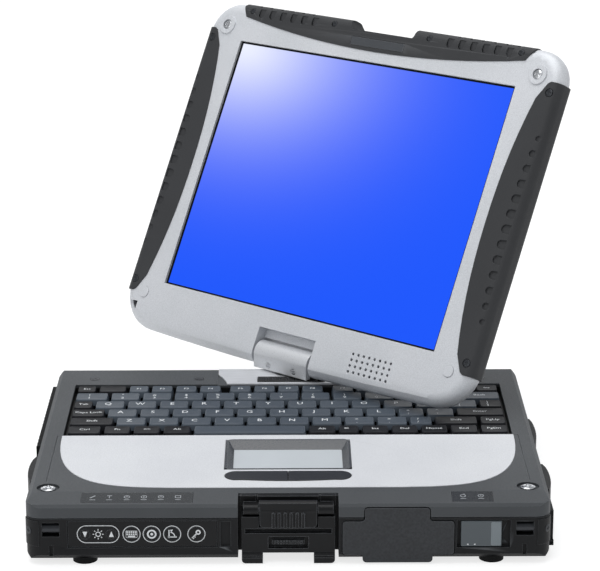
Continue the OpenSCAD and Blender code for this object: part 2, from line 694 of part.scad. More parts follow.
module upper_case() color("#4b4e51") difference() {
    upper_outer();
    // inside: lower under the front slope
    difference() {
        upright(split_z - 5, deck_under) inner_outline();
        box([-BIG, -BIG, 0], [BIG, -half_d + front_wall, BIG]);
        box([-BIG, -BIG, crease_z - deck_t - 0.4], [BIG, slope_y + 3, BIG]);
        box([-bay_half - wall, -BIG, 0], [bay_half + wall, bay_y + wall, BIG]);
    }
    bay_space();
    cover_recess();
    box([-well_x, well_y0, 0], [well_x, well_y1, BIG]);
    upright(palm_z0, BIG) polygon(palm_points());
    module_opening(0, BIG);
    box([-plate_x, plate_y0 - 1, deck_z + plate_proud - plate_t], [plate_x, plate_y1, BIG]);
    slider_opening();
    translate([0, pivot_y, 0]) cylinder(r = post_r + 0.5, h = BIG);
    // windows, screw recesses, seam lines on the side rails
    window_place() for (w = windows)
        box([w[0], window_y0 - crease_y, -window_t], [w[1], window_y1 - crease_y, 5]);
    screw_place() translate([0, 0, deck_z - 1.6]) cylinder(r = screw_recess_r, h = 5);
    for (p = deck_screws) translate([p.x, p.y, deck_z - 0.8]) cylinder(r = deck_screw_r + 0.2, h = 5);
    mirrored_x() {
        box([rail_x - seam_w, rail_y0, deck_z - seam_w], [rail_x, well_y0 + seam_w, deck_z + 1]);
        box([well_x - 1, well_y0, deck_z - seam_w], [rail_x, well_y0 + seam_w, deck_z + 1]);
    }
}

module palm_rest() color("#c9ccd0") difference() {
    upright(palm_z0, palm_z1) polygon(palm_points(-0.15));
    box([-pad_x - 0.2, pad_y0 - 0.2, 0], [pad_x + 0.2, pad_y1 + 0.2, BIG]);
    upright(0, BIG) polygon(button_points(touch_gap));
}
// Lens-shaped button bar: straight rear edge, front edge an arc, round ends
function button_points(g) = concat(
    arc(pad_x - 6.5, button_y1 - 6, 6 + g, 0, 90), arc(6.5 - pad_x, button_y1 - 6, 6 + g, 90, 180),
    arc(7.5 - pad_x, button_y1 - 6, 7 + g, 180, 250, 4),
    [for (x = [-24 : 6 : 24]) [x, button_y0 - g + 1.6 * pow(x / 24, 2)]],
    arc(pad_x - 7.5, button_y1 - 6, 7 + g, 290, 360, 4));

module keyboard_tray() color("#1d1e20") difference() {
    box([-well_x - tray_wall, well_y0 - tray_wall, tray_top - tray_floor],
        [well_x + tray_wall, well_y1 + tray_wall, deck_under]);
    box([-well_x, well_y0, tray_top], [well_x, well_y1, BIG]);
    for (r = [0 : 5], i = [0 : len(rows[r]) - 1]) if (rows[r][i] > 0)
        translate([key_x(r, i), row_y(r), 0]) stems(r, i, stem_w / 2 + 0.3, 0, BIG);
}

module touchpad_frame() color("#3a3c3f") difference() {
    union() {
        box([-module_x - flange_margin, module_y0 - flange_margin, deck_under - flange_t],
            [module_x + flange_margin, module_y1 + flange_margin - 1, deck_under]);
        upright(deck_under - 1, deck_z + 0.6)
            translate([0, (pad_y0 + pad_y1) / 2]) rounded(pad_w, pad_d, 4);
    }
    // dished opening: its sides slope down to the pad
    translate([0, 0, touch_z1 + EPS + pad_top]) mirror([0, 0, 1])
        block([-pad_x + pad_rim, pad_y0 + pad_rim - 0.4, pad_top],
              [pad_x - pad_rim, pad_y1 - pad_rim, touch_z1 + EPS],
              slope_side - pad_rim, 0.3, slope_back - pad_rim);
    box([-pad_x + slope_side - 0.2, pad_y0 + 0.9, pad_top - pad_t],
        [pad_x - slope_side + 0.2, pad_y1 - slope_back + 0.2, pad_top + 0.1]);
    // hollow under the buttons, with their stems' holes
    box([-pad_x - 0.4, button_y0 - 0.6, touch_z0 - touch_travel - 0.5],
        [pad_x + 0.4, button_y1 + 0.6, deck_under + 5]);
    for (s = [-1, 1]) translate([s * pad_x / 2, (button_y0 + button_y1) / 2, 0])
        box([-2.3, -2.3, 0], [2.3, 2.3, BIG]);
}
module touchpad_surface() color("#b9bfc4")
    box([-pad_x + slope_side - 0.1, pad_y0 + 1, pad_top - pad_t],
        [pad_x - slope_side + 0.1, pad_y1 - slope_back + 0.1, pad_top]);
module touch_button(side) color("#3a3c3f") union() {
    intersection() {
        upright(touch_z0, touch_z1) polygon(button_points(0));
        box([side > 0 ? 0.25 : -BIG, -BIG, 0], [side > 0 ? BIG : -0.25, BIG, BIG]);
    }
    translate([side * pad_x / 2, (button_y0 + button_y1) / 2, 0])
        box([-2, -2, deck_under - flange_t + 0.2], [2, 2, touch_z0 + 0.5]);
}
module touch_button_left() touch_button(-1);
module touch_button_right() touch_button(1);

// ---------- keys ----------
key_span = 2 * (well_x - key_margin);
function key_scale(r) = key_span / sum_abs(rows[r], len(rows[r]));
function key_w(r, i) = rows[r][i] * key_scale(r);
function key_x(r, i) = -key_span / 2 + (sum_abs(rows[r], i) + rows[r][i] / 2) * key_scale(r);
function row_depth(r) = r == 0 ? function_pitch : row_pitch;
function row_y(r) = well_y1 - row_margin
    - (r == 0 ? function_pitch / 2 : function_pitch + (r - 0.5) * row_pitch);
module stems(r, i, h, z0, z1) {
    spread = key_w(r, i) > 40 ? key_w(r, i) / 3 : 0;
    for (s = spread > 0 ? [-1, 1] : [0]) translate([s * spread, 0, 0]) box([-h, -h, z0], [h, h, z1]);
}
module key(r, i) translate([key_x(r, i), row_y(r), 0]) union() {
    w = key_w(r, i) / 2 - key_gap / 2;
    d = row_depth(r) / 2 - key_gap / 2;
    block([-w, -d, key_z0], [w, d, key_z1], key_inset, key_inset * 1.7, key_inset * 0.6);
    stems(r, i, stem_w / 2, tray_top - tray_floor + 0.4, key_z0 + 1);
}
module key_row(r, skip = -1) for (i = [0 : len(rows[r]) - 1]) if (rows[r][i] > 0 && i != skip) key(r, i);
module function_keys() color("#49525c") key_row(0);
module number_keys() color("#49525c") key_row(1);
module tab_row_keys() color("#49525c") key_row(2);
module home_row_keys() color("#49525c") key_row(3, enter_i);
module shift_row_keys() color("#49525c") key_row(4);
module bottom_row_keys() color("#26282c") key_row(5, space_i);
module space_bar() color("#49525c") key(5, space_i);
module enter_key() color("#26282c") key(3, enter_i);

// ---------- front face ----------
module front_bay_cover() color("#303134") union() {
    along_y(-half_d - 0.3, -half_d + cover_t) polygon(cover_points(0));
    along_y(-half_d - 0.3, -half_d + cover_t) polygon(concat(
        arc(tab_x0 + tab_r, tab_z0 + tab_r, tab_r, 180, 270, 4),
        arc(tab_x1 - tab_r, tab_z0 + tab_r, tab_r, 270, 360, 4),
        [[tab_x1, cover_z0 + 1], [tab_x0, cover_z0 + 1]]));
}
// Two knuckles that carry the pin, on arms from the back plate
module latch_knuckles() intersection() {
    union() {
        translate([0, latch_y, latch_z]) rod_x(-knuckle_x, knuckle_x, latch_r);
        box([-knuckle_x, latch_y, latch_z - latch_r], [knuckle_x, bay_y - 1, latch_z + latch_r - 0.4]);
    }
    mirrored_x() box([latch_half + knuckle_gap, -BIG, 0], [BIG, BIG, BIG]);
}
// Hooked foot of the cradle, as a side view: a lip at the front edge, stepped back above it
module cradle_leg(x0, x1) intersection() {
    along_x(x0, x1) polygon([
        [leg_y, leg_z0], [leg_y, leg_step], [leg_y + 1.2, leg_step + 0.6], [leg_y + 1.2, cradle_z0 - 0.6],
        [cradle_y, cradle_z0 + 0.5], [bay_y - 4, cradle_z0 + 0.5], [bay_y - 4, leg_z0]]);
    along_y(-BIG, BIG) polygon(concat([[x0, cradle_z0 + 1], [x0, leg_z0]],
        arc(x1 - leg_r, leg_z0 + leg_r, leg_r, 270, 360, 4), [[x1, cradle_z0 + 1]]));
}
module latch_cradle() color("#26272a") union() {
    difference() {
        union() {
            box([-bay_half + 0.1, bay_y - 2, case_z0 + 1], [bay_half - 0.1, bay_y, deck_z - 1]);
            box([-cradle_x, cradle_y, cradle_z0], [cradle_x, bay_y - 1, cradle_mid]);
            mirrored_x() box([latch_half + knuckle_gap, cradle_y, cradle_z0],
                             [cradle_x, bay_y - 1, cradle_z1]);
            // stop behind the lever's hood and blocks behind the knuckles
            box([-latch_half - 1.2, bay_y - stop_run, deck_z - 3.2], [latch_half + 1.2, bay_y, deck_z - 0.7]);
            mirrored_x() box([latch_half + 1.9, bay_y - stop_run, latch_z],
                             [cradle_x + 0.5, bay_y - 1, deck_z - 0.4]);
        }
        box([-cradle_x + 1.7, -BIG, slit_z[0]], [cradle_x - 1.7, cradle_y + 2.6, slit_z[1]]);
        box([-socket_x, -BIG, socket_z[0]], [socket_x, cradle_y + socket_d, socket_z[1]]);
    }
    difference() {
        latch_knuckles();
        translate([0, latch_y, latch_z]) rod_x(-knuckle_x - 1, knuckle_x + 1, latch_pin_r);
    }
    mirrored_x() cradle_leg(leg_x, cradle_x);
    // connector tongue in the socket with its row of contacts
    box([-socket_x + 2, cradle_y + 0.9, socket_mid - 1.2],
        [socket_x - 2, cradle_y + socket_d + 1, socket_mid + 1.2]);
    for (k = [0 : contact_n - 1]) let (x = (k - (contact_n - 1) / 2) * contact_pitch)
        box([x - 0.4, cradle_y + 0.5, socket_mid - 0.7], [x + 0.4, cradle_y + 1.5, socket_mid + 0.7]);
}
// Lever: barrel on the pin, a round hood over it and a plate with upright ribs
module front_latch() color("#2e3033") difference() {
    union() {
        translate([0, latch_y, latch_z]) rod_x(-latch_half, latch_half, latch_r);
        intersection() {
            translate([0, latch_y, latch_z]) rod_x(-latch_half, latch_half, latch_hood_r);
            box([-latch_half, latch_y - latch_front, latch_z], [latch_half, bay_y, deck_z]);
        }
        along_y(latch_y - latch_front, latch_y) polygon(concat(
            arc(latch_corner - latch_half, latch_z - latch_drop + latch_corner, latch_corner, 180, 270, 4),
            arc(latch_half - latch_corner, latch_z - latch_drop + latch_corner, latch_corner, 270, 360, 4),
            [[latch_half, latch_z], [-latch_half, latch_z]]));
        for (k = [0 : latch_ribs - 1]) let (x = (k - (latch_ribs - 1) / 2) * latch_rib_pitch) {
            box([x - latch_rib_w / 2, latch_y - latch_rib_out, latch_z - latch_drop],
                [x + latch_rib_w / 2, latch_y, latch_z - latch_rib_w]);
            translate([x, 0, latch_z - latch_rib_w])
                rod_y(latch_y - latch_rib_out, latch_y, latch_rib_w / 2);
        }
    }
    translate([0, latch_y, latch_z]) rod_x(-BIG, BIG, latch_pin_r + run_fit);
}
module steel_pins() color("#9a9ca0") {
    translate([0, latch_y, latch_z]) rod_x(-knuckle_x, knuckle_x, latch_pin_r);
    for (x = pocket_xs) strap_bar(x);
}
module button_panel() color("#222326") difference() {
    box([panel_x0, -half_d + panel_sink, panel_z0], [panel_x1, -half_d + panel_sink + panel_t, panel_z1]);
    for (x = button_xs) translate([x, 0, button_z]) rod_y(-BIG, 0, button_r + button_gap);
    for (s = [-1, 1]) translate([pill_x + s * pill_step, 0, button_z]) rod_y(-BIG, 0, pill_r + button_gap);
}
module push_button(x, r) color("#2c2e31") translate([x, 0, button_z])
    rod_y(-half_d + panel_sink - button_proud, -half_d + front_wall + 1.4, r);
module brightness_down_button() push_button(pill_x - pill_step, pill_r);
module brightness_up_button() push_button(pill_x + pill_step, pill_r);
module keyboard_button() push_button(button_xs[0], button_r);
module input_button() push_button(button_xs[1], button_r);
module rotate_button() push_button(button_xs[2], button_r);
module security_button() push_button(button_xs[3], button_r);
module power_switch() color("#5a6166") union() {
    box([power_x0 + 2, -half_d - 0.2, power_z0 + 0.5],
        [power_x0 + 2 + power_w, -half_d + power_sink - 0.2, power_z1 - 0.5]);
    box([power_x0 + 5, -half_d, power_z0 + 5.6],
        [power_x0 + power_w - 5, -half_d + front_wall + 1, power_z1 - 5.6]);
}
module indicator_windows() color("#3a3d40") window_place() for (w = windows)
    box([w[0] + 0.1, window_y0 - crease_y + 0.1, -window_t], [w[1] - 0.1, window_y1 - crease_y - 0.1, 0.05]);

// ---------- small outer parts ----------
module rubber_feet() color("#1a1a1b") for (x = [-foot_x, foot_x], y = [-foot_y, foot_y])
    translate([x, y, 0]) cylinder(r = foot_r - 0.1, h = foot_h + 0.6);
module corner_guards() color("#333538") {
    intersection() {
        upright(guard_z[0], guard_z[1]) difference() {
            rounded(body_w + 2 * guard_t, body_d + 2 * guard_t, corner_r + guard_t);
            case_outline();
        }
        union() for (sx = [-1, 1], sy = [-1, 1]) translate([sx * half_w, sy * half_d, 0])
            box([-guard_side, -guard_side, 0], [guard_side, guard_side, BIG]);
    }
    lug(-1, left_lug_y, left_lug_z, half_w, left_lug_out);
}
module case_screws() color("#8d9094") {
    for (p = bottom_screw_xy) translate([p.x, p.y, case_z0 + 1.2])
        mirror([0, 0, 1]) slotted_head(bottom_screw_r, 1.1);
    screw_place() translate([0, 0, deck_z - 1.6]) slotted_head(screw_head_r, 1.8, 1);
    for (p = deck_screws) translate([p.x, p.y, deck_z - 0.8]) slotted_head(deck_screw_r, 0.9, 0.6);
}
module bottom_cover() color("#2b2c2f") difference() {
    box([hatch_lo.x + hatch_fit, hatch_lo.y + hatch_fit, case_z0 + 0.1],
        [hatch_hi.x - hatch_fit, hatch_hi.y - hatch_fit, case_z0 + hatch_t]);
    for (x = [hatch_lo.x + 10 : 8 : hatch_hi.x - 10])
        box([x, hatch_lo.y + 8, case_z0 - 1], [x + 2, hatch_lo.y + 32, case_z0 + 0.6]);
}
module hinge_plate() color("#c4c6ca") difference() {
    upright(deck_z + plate_proud - plate_t, deck_z + plate_proud)
        polygon([
            [-plate_x + 0.2, plate_y1 - 0.2],
            [-plate_x + 0.2, plate_y0 + 17], [-plate_x + 2.6, plate_y0 + 12],
            [-plate_x + 4.8, plate_y0 + 5], [-plate_x + 5.6, plate_y0 + 0.2], [plate_x - 5.6, plate_y0 + 0.2],
            [plate_x - 4.8, plate_y0 + 5], [plate_x - 2.6, plate_y0 + 12], [plate_x - 0.2, plate_y0 + 17],
            [plate_x - 0.2, plate_y1 - 0.2]]);
    slider_opening();
    translate([0, pivot_y, 0]) cylinder(r = post_r + 0.5, h = BIG);
}
module release_slider() color("#2b2d30") difference() {
    union() {
        box([-slider_x, slider_y0, deck_under - 2], [slider_x, slider_y1, deck_z + 0.8]);
        box([-slider_x - release_travel - 2, slider_y0, deck_under - 2],
            [slider_x + release_travel + 2, slider_y1 + 1, deck_under - 0.2]);
    }
    for (x = [-12 : 4 : 12])
        box([x - 0.6, slider_y0 + 2, deck_z + 0.2], [x + 0.6, slider_y1 - 2, BIG]);
}

// ---------- doors and covers ----------
module side_door(side, ys, z1) union() {
    door_axis(side) {
        box([side > 0 ? -door_axis_in : door_axis_in - door_t, ys[0], -door_drop],
            [side > 0 ? door_t - door_axis_in : door_axis_in, ys[1], z1 - door_z]);
        rod_y(ys[0] - stub_l, ys[1] + stub_l, stub_r);
    }
    children();
}
module left_port_cover() color("#2a2b2d") side_door(-1, left_cover_y, left_cover_z1)
    for (y = [left_cover_y[0] + 4 : rib_pitch : left_cover_y[1] - 4])
        box([-half_w - door_gap - door_t - rib_out, y - rib_half, door_z + 1.5],
            [-half_w - door_gap - 1, y + rib_half, left_cover_z1 - 1.5]);
module battery_door() color("#2e2f32") side_door(1, battery_door_y, door_z1)
    lug(1, battery_lug_y, lug_z, half_w + door_gap, lug_out);
module hard_drive_door() color("#2e2f32") side_door(1, drive_door_y, door_z1)
    lug(1, drive_lug_y, lug_z, half_w + door_gap, drive_lug_out);
module rear_port_cover() color("#232425") union() {
    box([rear_x0, half_d - rear_t - 0.1, rear_z0 - 0.1], [rear_x1, half_d - 0.1, rear_z1]);
    translate([0, half_d - rear_t / 2 - 0.1, rear_z0 + rear_t / 2 - 0.1])
        rod_x(rear_x0 - 1.3, rear_x1 + 1.3, rear_pin_r);
}

// ---------- inside the base ----------
module mainboard() color("#2f5d3a") union() {
    difference() {
        box([board_x0, board_y0, board_z], [board_x1, board_y1, board_top]);
        for (x = [board_x0 + standoff_in, board_x1 - standoff_in],
             y = [board_y0 + standoff_in, board_y1 - standoff_in])
            translate([x, y, 0]) cylinder(r = 1.6, h = BIG);
        box([-bay_half - 6, -BIG, 0], [bay_half + 6, bay_y + wall + 2, BIG]);
    }
    for (c = chips) translate(chip_place(c)) linear_extrude(chip_h) square(c[2], center = true);
    translate([board_x0 + memory_in.x, board_y0 + memory_in.y, board_top]) {
        box([0, 0, -EPS], [memory_w, memory_socket, memory_socket]);
        box([2, memory_socket - EPS, 2], [memory_w - 2, memory_d, 3.2]);
    }
    translate([board_x1 - card_in.x, board_y1 - card_in.y, board_top - EPS]) cube(card_size);
}
function chip_place(c) = [
    board_x0 + c[0] * (board_x1 - board_x0), board_y0 + c[1] * (board_y1 - board_y0), board_top - EPS];
module heat_plate() color("#b0b4b8") translate(chip_place(chips[0])) union() {
    box([heat_lo.x, heat_lo.y, 3], [heat_hi.x, heat_hi.y, 4.5]);
    box([-heat_foot / 2, -heat_foot / 2, chip_h + EPS], [heat_foot / 2, heat_foot / 2, 3.5]);
}
module battery_pack() color("#1f2022")
    box([bay_x0, battery_door_y[0] + opening_margin + 0.8, bay_z0],
        [bay_x1, battery_door_y[1] - opening_margin - 0.8, bay_z0 + battery_h]);
module hard_drive() color("#a7abb0") union() {
    box([bay_x0, drive_y0, bay_z0], [bay_x1, drive_y1, bay_z0 + drive_h]);
    // pull tab on its outer end
    box([bay_x1 - 6.3, drive_y0 + 14, bay_z0 + drive_h - 0.5],
        [bay_x1, drive_y1 - 14, bay_z0 + drive_h + 3]);
}
module dock_connector() color("#3c3c3c") difference() {
    box([-plug_x + 0.3, plug_y0 + 0.3, case_z0 + 0.4], [plug_x - 0.3, plug_y1 - 0.3, board_z]);
    box([-plug_x + 3, plug_y0 + 2.5, 0], [plug_x - 3, plug_y1 - 2.5, case_z0 + 3.2]);
}
module swivel_bearing() color("#777b80") difference() {
    box([-bearing_x, pivot_y - 6.6, bearing_z0], [bearing_x, half_d - wall - 0.2, deck_under]);
    translate([0, pivot_y, 0]) cylinder(r = post_r + run_fit, h = BIG);
}
module port_block() color("#55585c") {
    // sockets behind the left cover
    difference() {
        union() {
            box([-half_w + wall + 3, left_cover_y[0] + 6, inner_z0],
                [-half_w + wall + 14, left_cover_y[1] - 6, opening_z1 - 2]);
            for (y = socket_ys) box([-half_w + 0.4, y - socket_half[1], door_z + 5],
                                    [-half_w + wall + 4, y + socket_half[1], opening_z1 - 3.5]);
        }
        for (y = socket_ys) box([-half_w - 5, y - socket_half[0], door_z + 6.5],
                                [-half_w + 3, y + socket_half[0], door_z + 10]);
    }
    // sockets behind the rear cover
    difference() {
        box([rear_x0 + 5, half_d - wall - rear_frame_t - 10, inner_z0],
            [rear_x1 - 5, half_d - wall - rear_frame_t - 0.2, rear_z1 - 2.5]);
        for (x = rear_sockets) box([x - socket_half[0], half_d - wall - rear_frame_t - 5, rear_z0 + 5],
                                   [x + socket_half[0], half_d, rear_z0 + 8.4]);
    }
    // charging socket
    difference() {
        box([-half_w + wall + 0.2, jack_y - 5, inner_z0], [-half_w + wall + 11.8, jack_y + 5, jack_z + 5]);
        translate([0, jack_y, jack_z]) rod_x(-half_w - 1, -half_w + wall + 0.2 + jack_l, jack_r);
    }
}

// ---------- hinge ----------
module turret() color("#2f3134") at_swivel() difference() {
    union() {
        translate([0, 0, turret_z0 - hinge_z]) cylinder(r = disc_r, h = saddle_z0 - turret_z0);
        translate([0, 0, turret_z0 - hinge_z - 0.2]) cylinder(r = neck_r, h = 1.5);
        box([-saddle_half, -skirt_t + 0.1, saddle_z0 - hinge_z], [saddle_half, saddle_y, 0]);
        translate([0, 0, bearing_z0 - 1 - collar_t - hinge_z])
            cylinder(r = post_r, h = turret_z0 - bearing_z0 + collar_t + 1.3);
        translate([0, 0, bearing_z0 - 0.3 - collar_t - hinge_z]) cylinder(r = collar_r, h = collar_t);
    }
    rod_x(-BIG, BIG, barrel_r);
    translate([0, 0, -BIG / 2]) cylinder(r = wire_r, h = BIG);
}
module hinge_barrel() color("#b9bcc1") at_swivel() difference() {
    union() {
        rod_x(-barrel_half, barrel_half, barrel_r);
        box([-barrel_half, -barrel_r, skirt_z0], [barrel_half, -skirt_t, 0]);
    }
    rod_x(-BIG, BIG, shaft_r + run_fit);
    for (u = barrel_screw_u) translate([u, 0, skirt_z0 + 3]) rod_y(-BIG, -barrel_r + 0.6, 1.9);
}
module barrel_screws() color("#9b9ea3") at_swivel() for (u = barrel_screw_u)
    translate([u, -barrel_r + 0.6, skirt_z0 + 3]) rotate([90, 0, 0]) slotted_head(1.8, 0.9, 0.5);
module hinge_shafts() color("#8a8d92") at_lid() mirrored_x() union() {
    rod_x(shaft_in, shaft_out, shaft_r);
    lid_box(bracket_x0, -3.4, lid_shell - half_t, bracket_x1, bracket_up, 4.2);
}

// ---------- lid ----------
// Outline of the lid in (u, v), drawn in by i all round; the lower edge is a shallow arc
function lid_edge_v(u) = -lid_edge + edge_rise * pow(u / (lid_x - corner_low), 2);
function lid_points(i) = concat(
    [for (k = [-4 : 4]) let (u = k / 5 * (lid_x - corner_low)) [u, lid_edge_v(u) + i]],
    arc(lid_x - corner_low, lid_edge_v(lid_x - corner_low) + corner_low, corner_low - i, 270, 360),
    arc(lid_x - corner_top, lid_top - corner_top, corner_top - i, 0, 90),
    arc(corner_top - lid_x, lid_top - corner_top, corner_top - i, 90, 180),
    arc(corner_low - lid_x, lid_edge_v(lid_x - corner_low) + corner_low, corner_low - i, 180, 270));
// Rings from the back face to the front face; the edge is a quarter round on each side
function ring_w(k) = k <= ROUND_STEPS
    ? -half_t + lid_round - lid_round * cos(90 * k / ROUND_STEPS)
    : half_t - lid_round + lid_round * sin(90 * (k - ROUND_STEPS - 1) / ROUND_STEPS);
function ring_in(k) = k <= ROUND_STEPS
    ? lid_round - lid_round * sin(90 * k / ROUND_STEPS)
    : lid_round - lid_round * cos(90 * (k - ROUND_STEPS - 1) / ROUND_STEPS);
module lid_body() {
    rings = 2 * ROUND_STEPS + 2;
    n = len(lid_points(0));
    points = [for (k = [0 : rings - 1], p = lid_points(ring_in(k))) [p.x, -ring_w(k), p.y]];
    sides = [for (k = [0 : rings - 2], j = [0 : n - 1], t = [0, 1])
        let (a = k * n + j, b = k * n + (j + 1) % n)
        t == 0 ? [a, a + n, b + n] : [a, b + n, b]];
    polyhedron(points, concat([[for (j = [0 : n - 1]) j]], sides,
        [[for (j = [n - 1 : -1 : 0]) (rings - 1) * n + j]]));
}
module lid_cavity(w0, w1) on_lid(w0, w1) polygon(lid_points(cavity_in));
module notch_space(g) lid_box(-notch_w / 2 - g, -BIG, -BIG, notch_w / 2 + g, notch_up + g, BIG);
// The back cover wraps round the barrel; below the axis the notch is open
module back_notch() {
    rod_x(-notch_w / 2, notch_w / 2, barrel_r + barrel_room);
    lid_box(-notch_w / 2, -BIG, -BIG, notch_w / 2, 0, BIG);
}
module latch_recess() on_lid(-BIG, BIG) polygon([
    [-recess_w / 2, lid_top + 5], [-recess_w / 2, lid_top - 1],
    [-recess_w / 2 + 3, lid_top - recess_d], [recess_w / 2 - 1, lid_top - recess_d],
    [recess_w / 2, lid_top - recess_d + 1.5], [recess_w / 2, lid_top + 5]]);
// Front view of a side bumper: its inner edge is an arc that swells towards the screen
function side_u(v) = side_mid_u
    + (side_end_u - side_mid_u) * pow(abs(2 * (v - side_v0) / (side_v1 - side_v0) - 1), 2.2);
function side_points() = concat([[lid_x + 10, side_v0]],
    [[lid_x - 6, side_v0], [side_end_u + 2.5, side_v0 + 1.2]],
    [for (k = [1 : 15]) let (v = side_v0 + (side_v1 - side_v0) * k / 16) [side_u(v), v]],
    [[side_end_u + 2.5, side_v1 - 1.2], [lid_x - 6, side_v1]], [[lid_x + 10, side_v1]]);
module side_skin(w0, w1) difference() {
    on_lid(w0, w1) polygon(side_points());
    lid_box(-BIG, -BIG, -face_in, side_in, BIG, face_in);
}
// Front view of the top bumper: its lower edge dips towards the middle
function top_v(u) = top_low + (top_end - top_low) * pow(abs(u) / top_half, 2);
function top_points() = concat(
    [[top_half - 1, lid_top + 10], [-top_half + 1, lid_top + 10], [-top_half, lid_top - 2]],
    [for (k = [-8 : 8]) [k / 8 * (top_half - 4), top_v(k / 8 * (top_half - 4))]], [[top_half, lid_top - 2]]);
module top_skin(w0, w1) difference() {
    on_lid(w0, w1) polygon(top_points());
    difference() {
        lid_box(-BIG, -BIG, -face_in, BIG, top_in, face_in);
        on_lid(-face_in - 1, face_in + 1) polygon([
            [-recess_w / 2 - 4, lid_top + 9], [-recess_w / 2 - 4, lid_top - recess_d - 2.2],
            [recess_w / 2 + 4, lid_top - recess_d - 2.2], [recess_w / 2 + 4, lid_top + 9]]);
    }
}
module lid_common(w0, w1) difference() {
    intersection() {
        lid_body();
        lid_box(-BIG, -BIG, w0, BIG, BIG, w1);
    }
    mirrored_x() side_skin(-BIG, BIG);
    top_skin(-BIG, BIG);
    rod_x(-bracket_x1, bracket_x1, shaft_r + 0.25);
}
// Full-depth cavity clear of the bumpers, and a thinner one that reaches in under them
module lid_inside(w0, w1) {
    difference() {
        lid_cavity(w0, w1);
        notch_space(lid_shell);
        mirrored_x() lid_box(side_mid_u - 2, side_v0 - 2, -BIG, BIG, side_v1 + 2, BIG);
        lid_box(-top_half - 2, top_low - 2, -BIG, top_half + 2, BIG, BIG);
    }
    difference() {
        lid_cavity(max(w0, lid_shell - face_in), min(w1, face_in - lid_shell));
        notch_space(lid_shell);
        lid_box(-recess_w / 2 - 8, lid_top - recess_d - 5, -BIG, recess_w / 2 + 8, BIG, BIG);
    }
}
module lid_front_bezel() color("#c6c8cc") at_lid() difference() {
    union() {
        difference() {
            lid_common(EPS, BIG);
            notch_space(0);
        }
        for (p = corner_pads) lid_rod(p.x, p.y, half_t - 1, half_t + pad_boss_h, pad_boss_r);
    }
    lid_inside(-1, half_t - lid_shell);
    lid_box(-screen_w / 2, screen_up - screen_h / 2, 0, screen_w / 2, screen_up + screen_h / 2, BIG);
    lid_box(-screen_w / 2 - panel_margin, screen_up - screen_h / 2 - panel_margin, -1,
            screen_w / 2 + panel_margin, screen_up + screen_h / 2 + panel_margin, half_t - lid_shell);
    for (i = [0 : grille_n - 1], j = [0 : grille_m - 1])
        lid_rod(grille_u0 + i * grille_du, grille_v0 + j * grille_dv, 0, BIG, grille_r);
    for (p = corner_pads) lid_rod(p.x, p.y, half_t - 0.4, BIG, lid_screw_r + 0.2);
    for (p = caps) lid_rod(p.x, p.y, half_t - 0.8, BIG, cap_r + 0.1);
    lid_box(-lid_x - 1, lanyard_v - lanyard_half, half_t - 3,
            -lid_x + lanyard_in, lanyard_v + lanyard_half, BIG);
}
module lid_back_cover() color("#b4b6ba") at_lid() difference() {
    lid_common(-BIG, 0);
    back_notch();
    lid_inside(-half_t + lid_shell, 1);
    lid_box(-screen_w / 2 - panel_margin, screen_up - screen_h / 2 - panel_margin, -half_t + lid_shell,
            screen_w / 2 + panel_margin, screen_up + screen_h / 2 + panel_margin, 1);
    // shallow panel lines on the back
    difference() {
        lid_box(-back_line_u, back_line_v[0], -BIG, back_line_u, back_line_v[1], -half_t + 0.5);
        lid_box(-back_line_u + back_line_w, back_line_v[0] + back_line_w, -BIG,
                back_line_u - back_line_w, back_line_v[1] - back_line_w, BIG);
    }
}
module lcd_panel() color("#3a3f45") at_lid()
    lid_box(-screen_w / 2 - 2, screen_up - screen_h / 2 - 2, -3,
            screen_w / 2 + 2, screen_up + screen_h / 2 + 2, half_t - lid_shell - glass_t - 0.02);
module touch_glass() color("#2660ff") at_lid()
    lid_box(-screen_w / 2 - 2, screen_up - screen_h / 2 - 2, half_t - lid_shell - glass_t,
            screen_w / 2 + 2, screen_up + screen_h / 2 + 2, half_t - lid_shell - 0.02);
// D-shaped pocket sunk into the front of a bumper, open towards the outer edge
module d_pocket(u, v, reach, h) {
    lid_box(u + h / 2, v - h / 2, half_t + bumper_proud - pocket_d, u + reach, v + h / 2, BIG);
    lid_rod(u + h / 2, v, half_t + bumper_proud - pocket_d, BIG, h / 2);
}
module right_bumper() difference() {
    intersection() {
        side_skin(-half_t - bumper_proud, half_t + bumper_proud);
        along_skin();
    }
    for (k = [-6 : 6]) {
        share = 1 - pow(abs(k) / 8, 2);
        d_pocket(lid_x - 2 - 7.5 * share, pocket_mid + k * pocket_pitch, 6 * share, 5.4 * sqrt(share));
    }
    for (v = side_screw_vs)
        lid_rod(side_end_u + 5, v, half_t + bumper_proud - 0.8, BIG, bumper_screw_r);
}
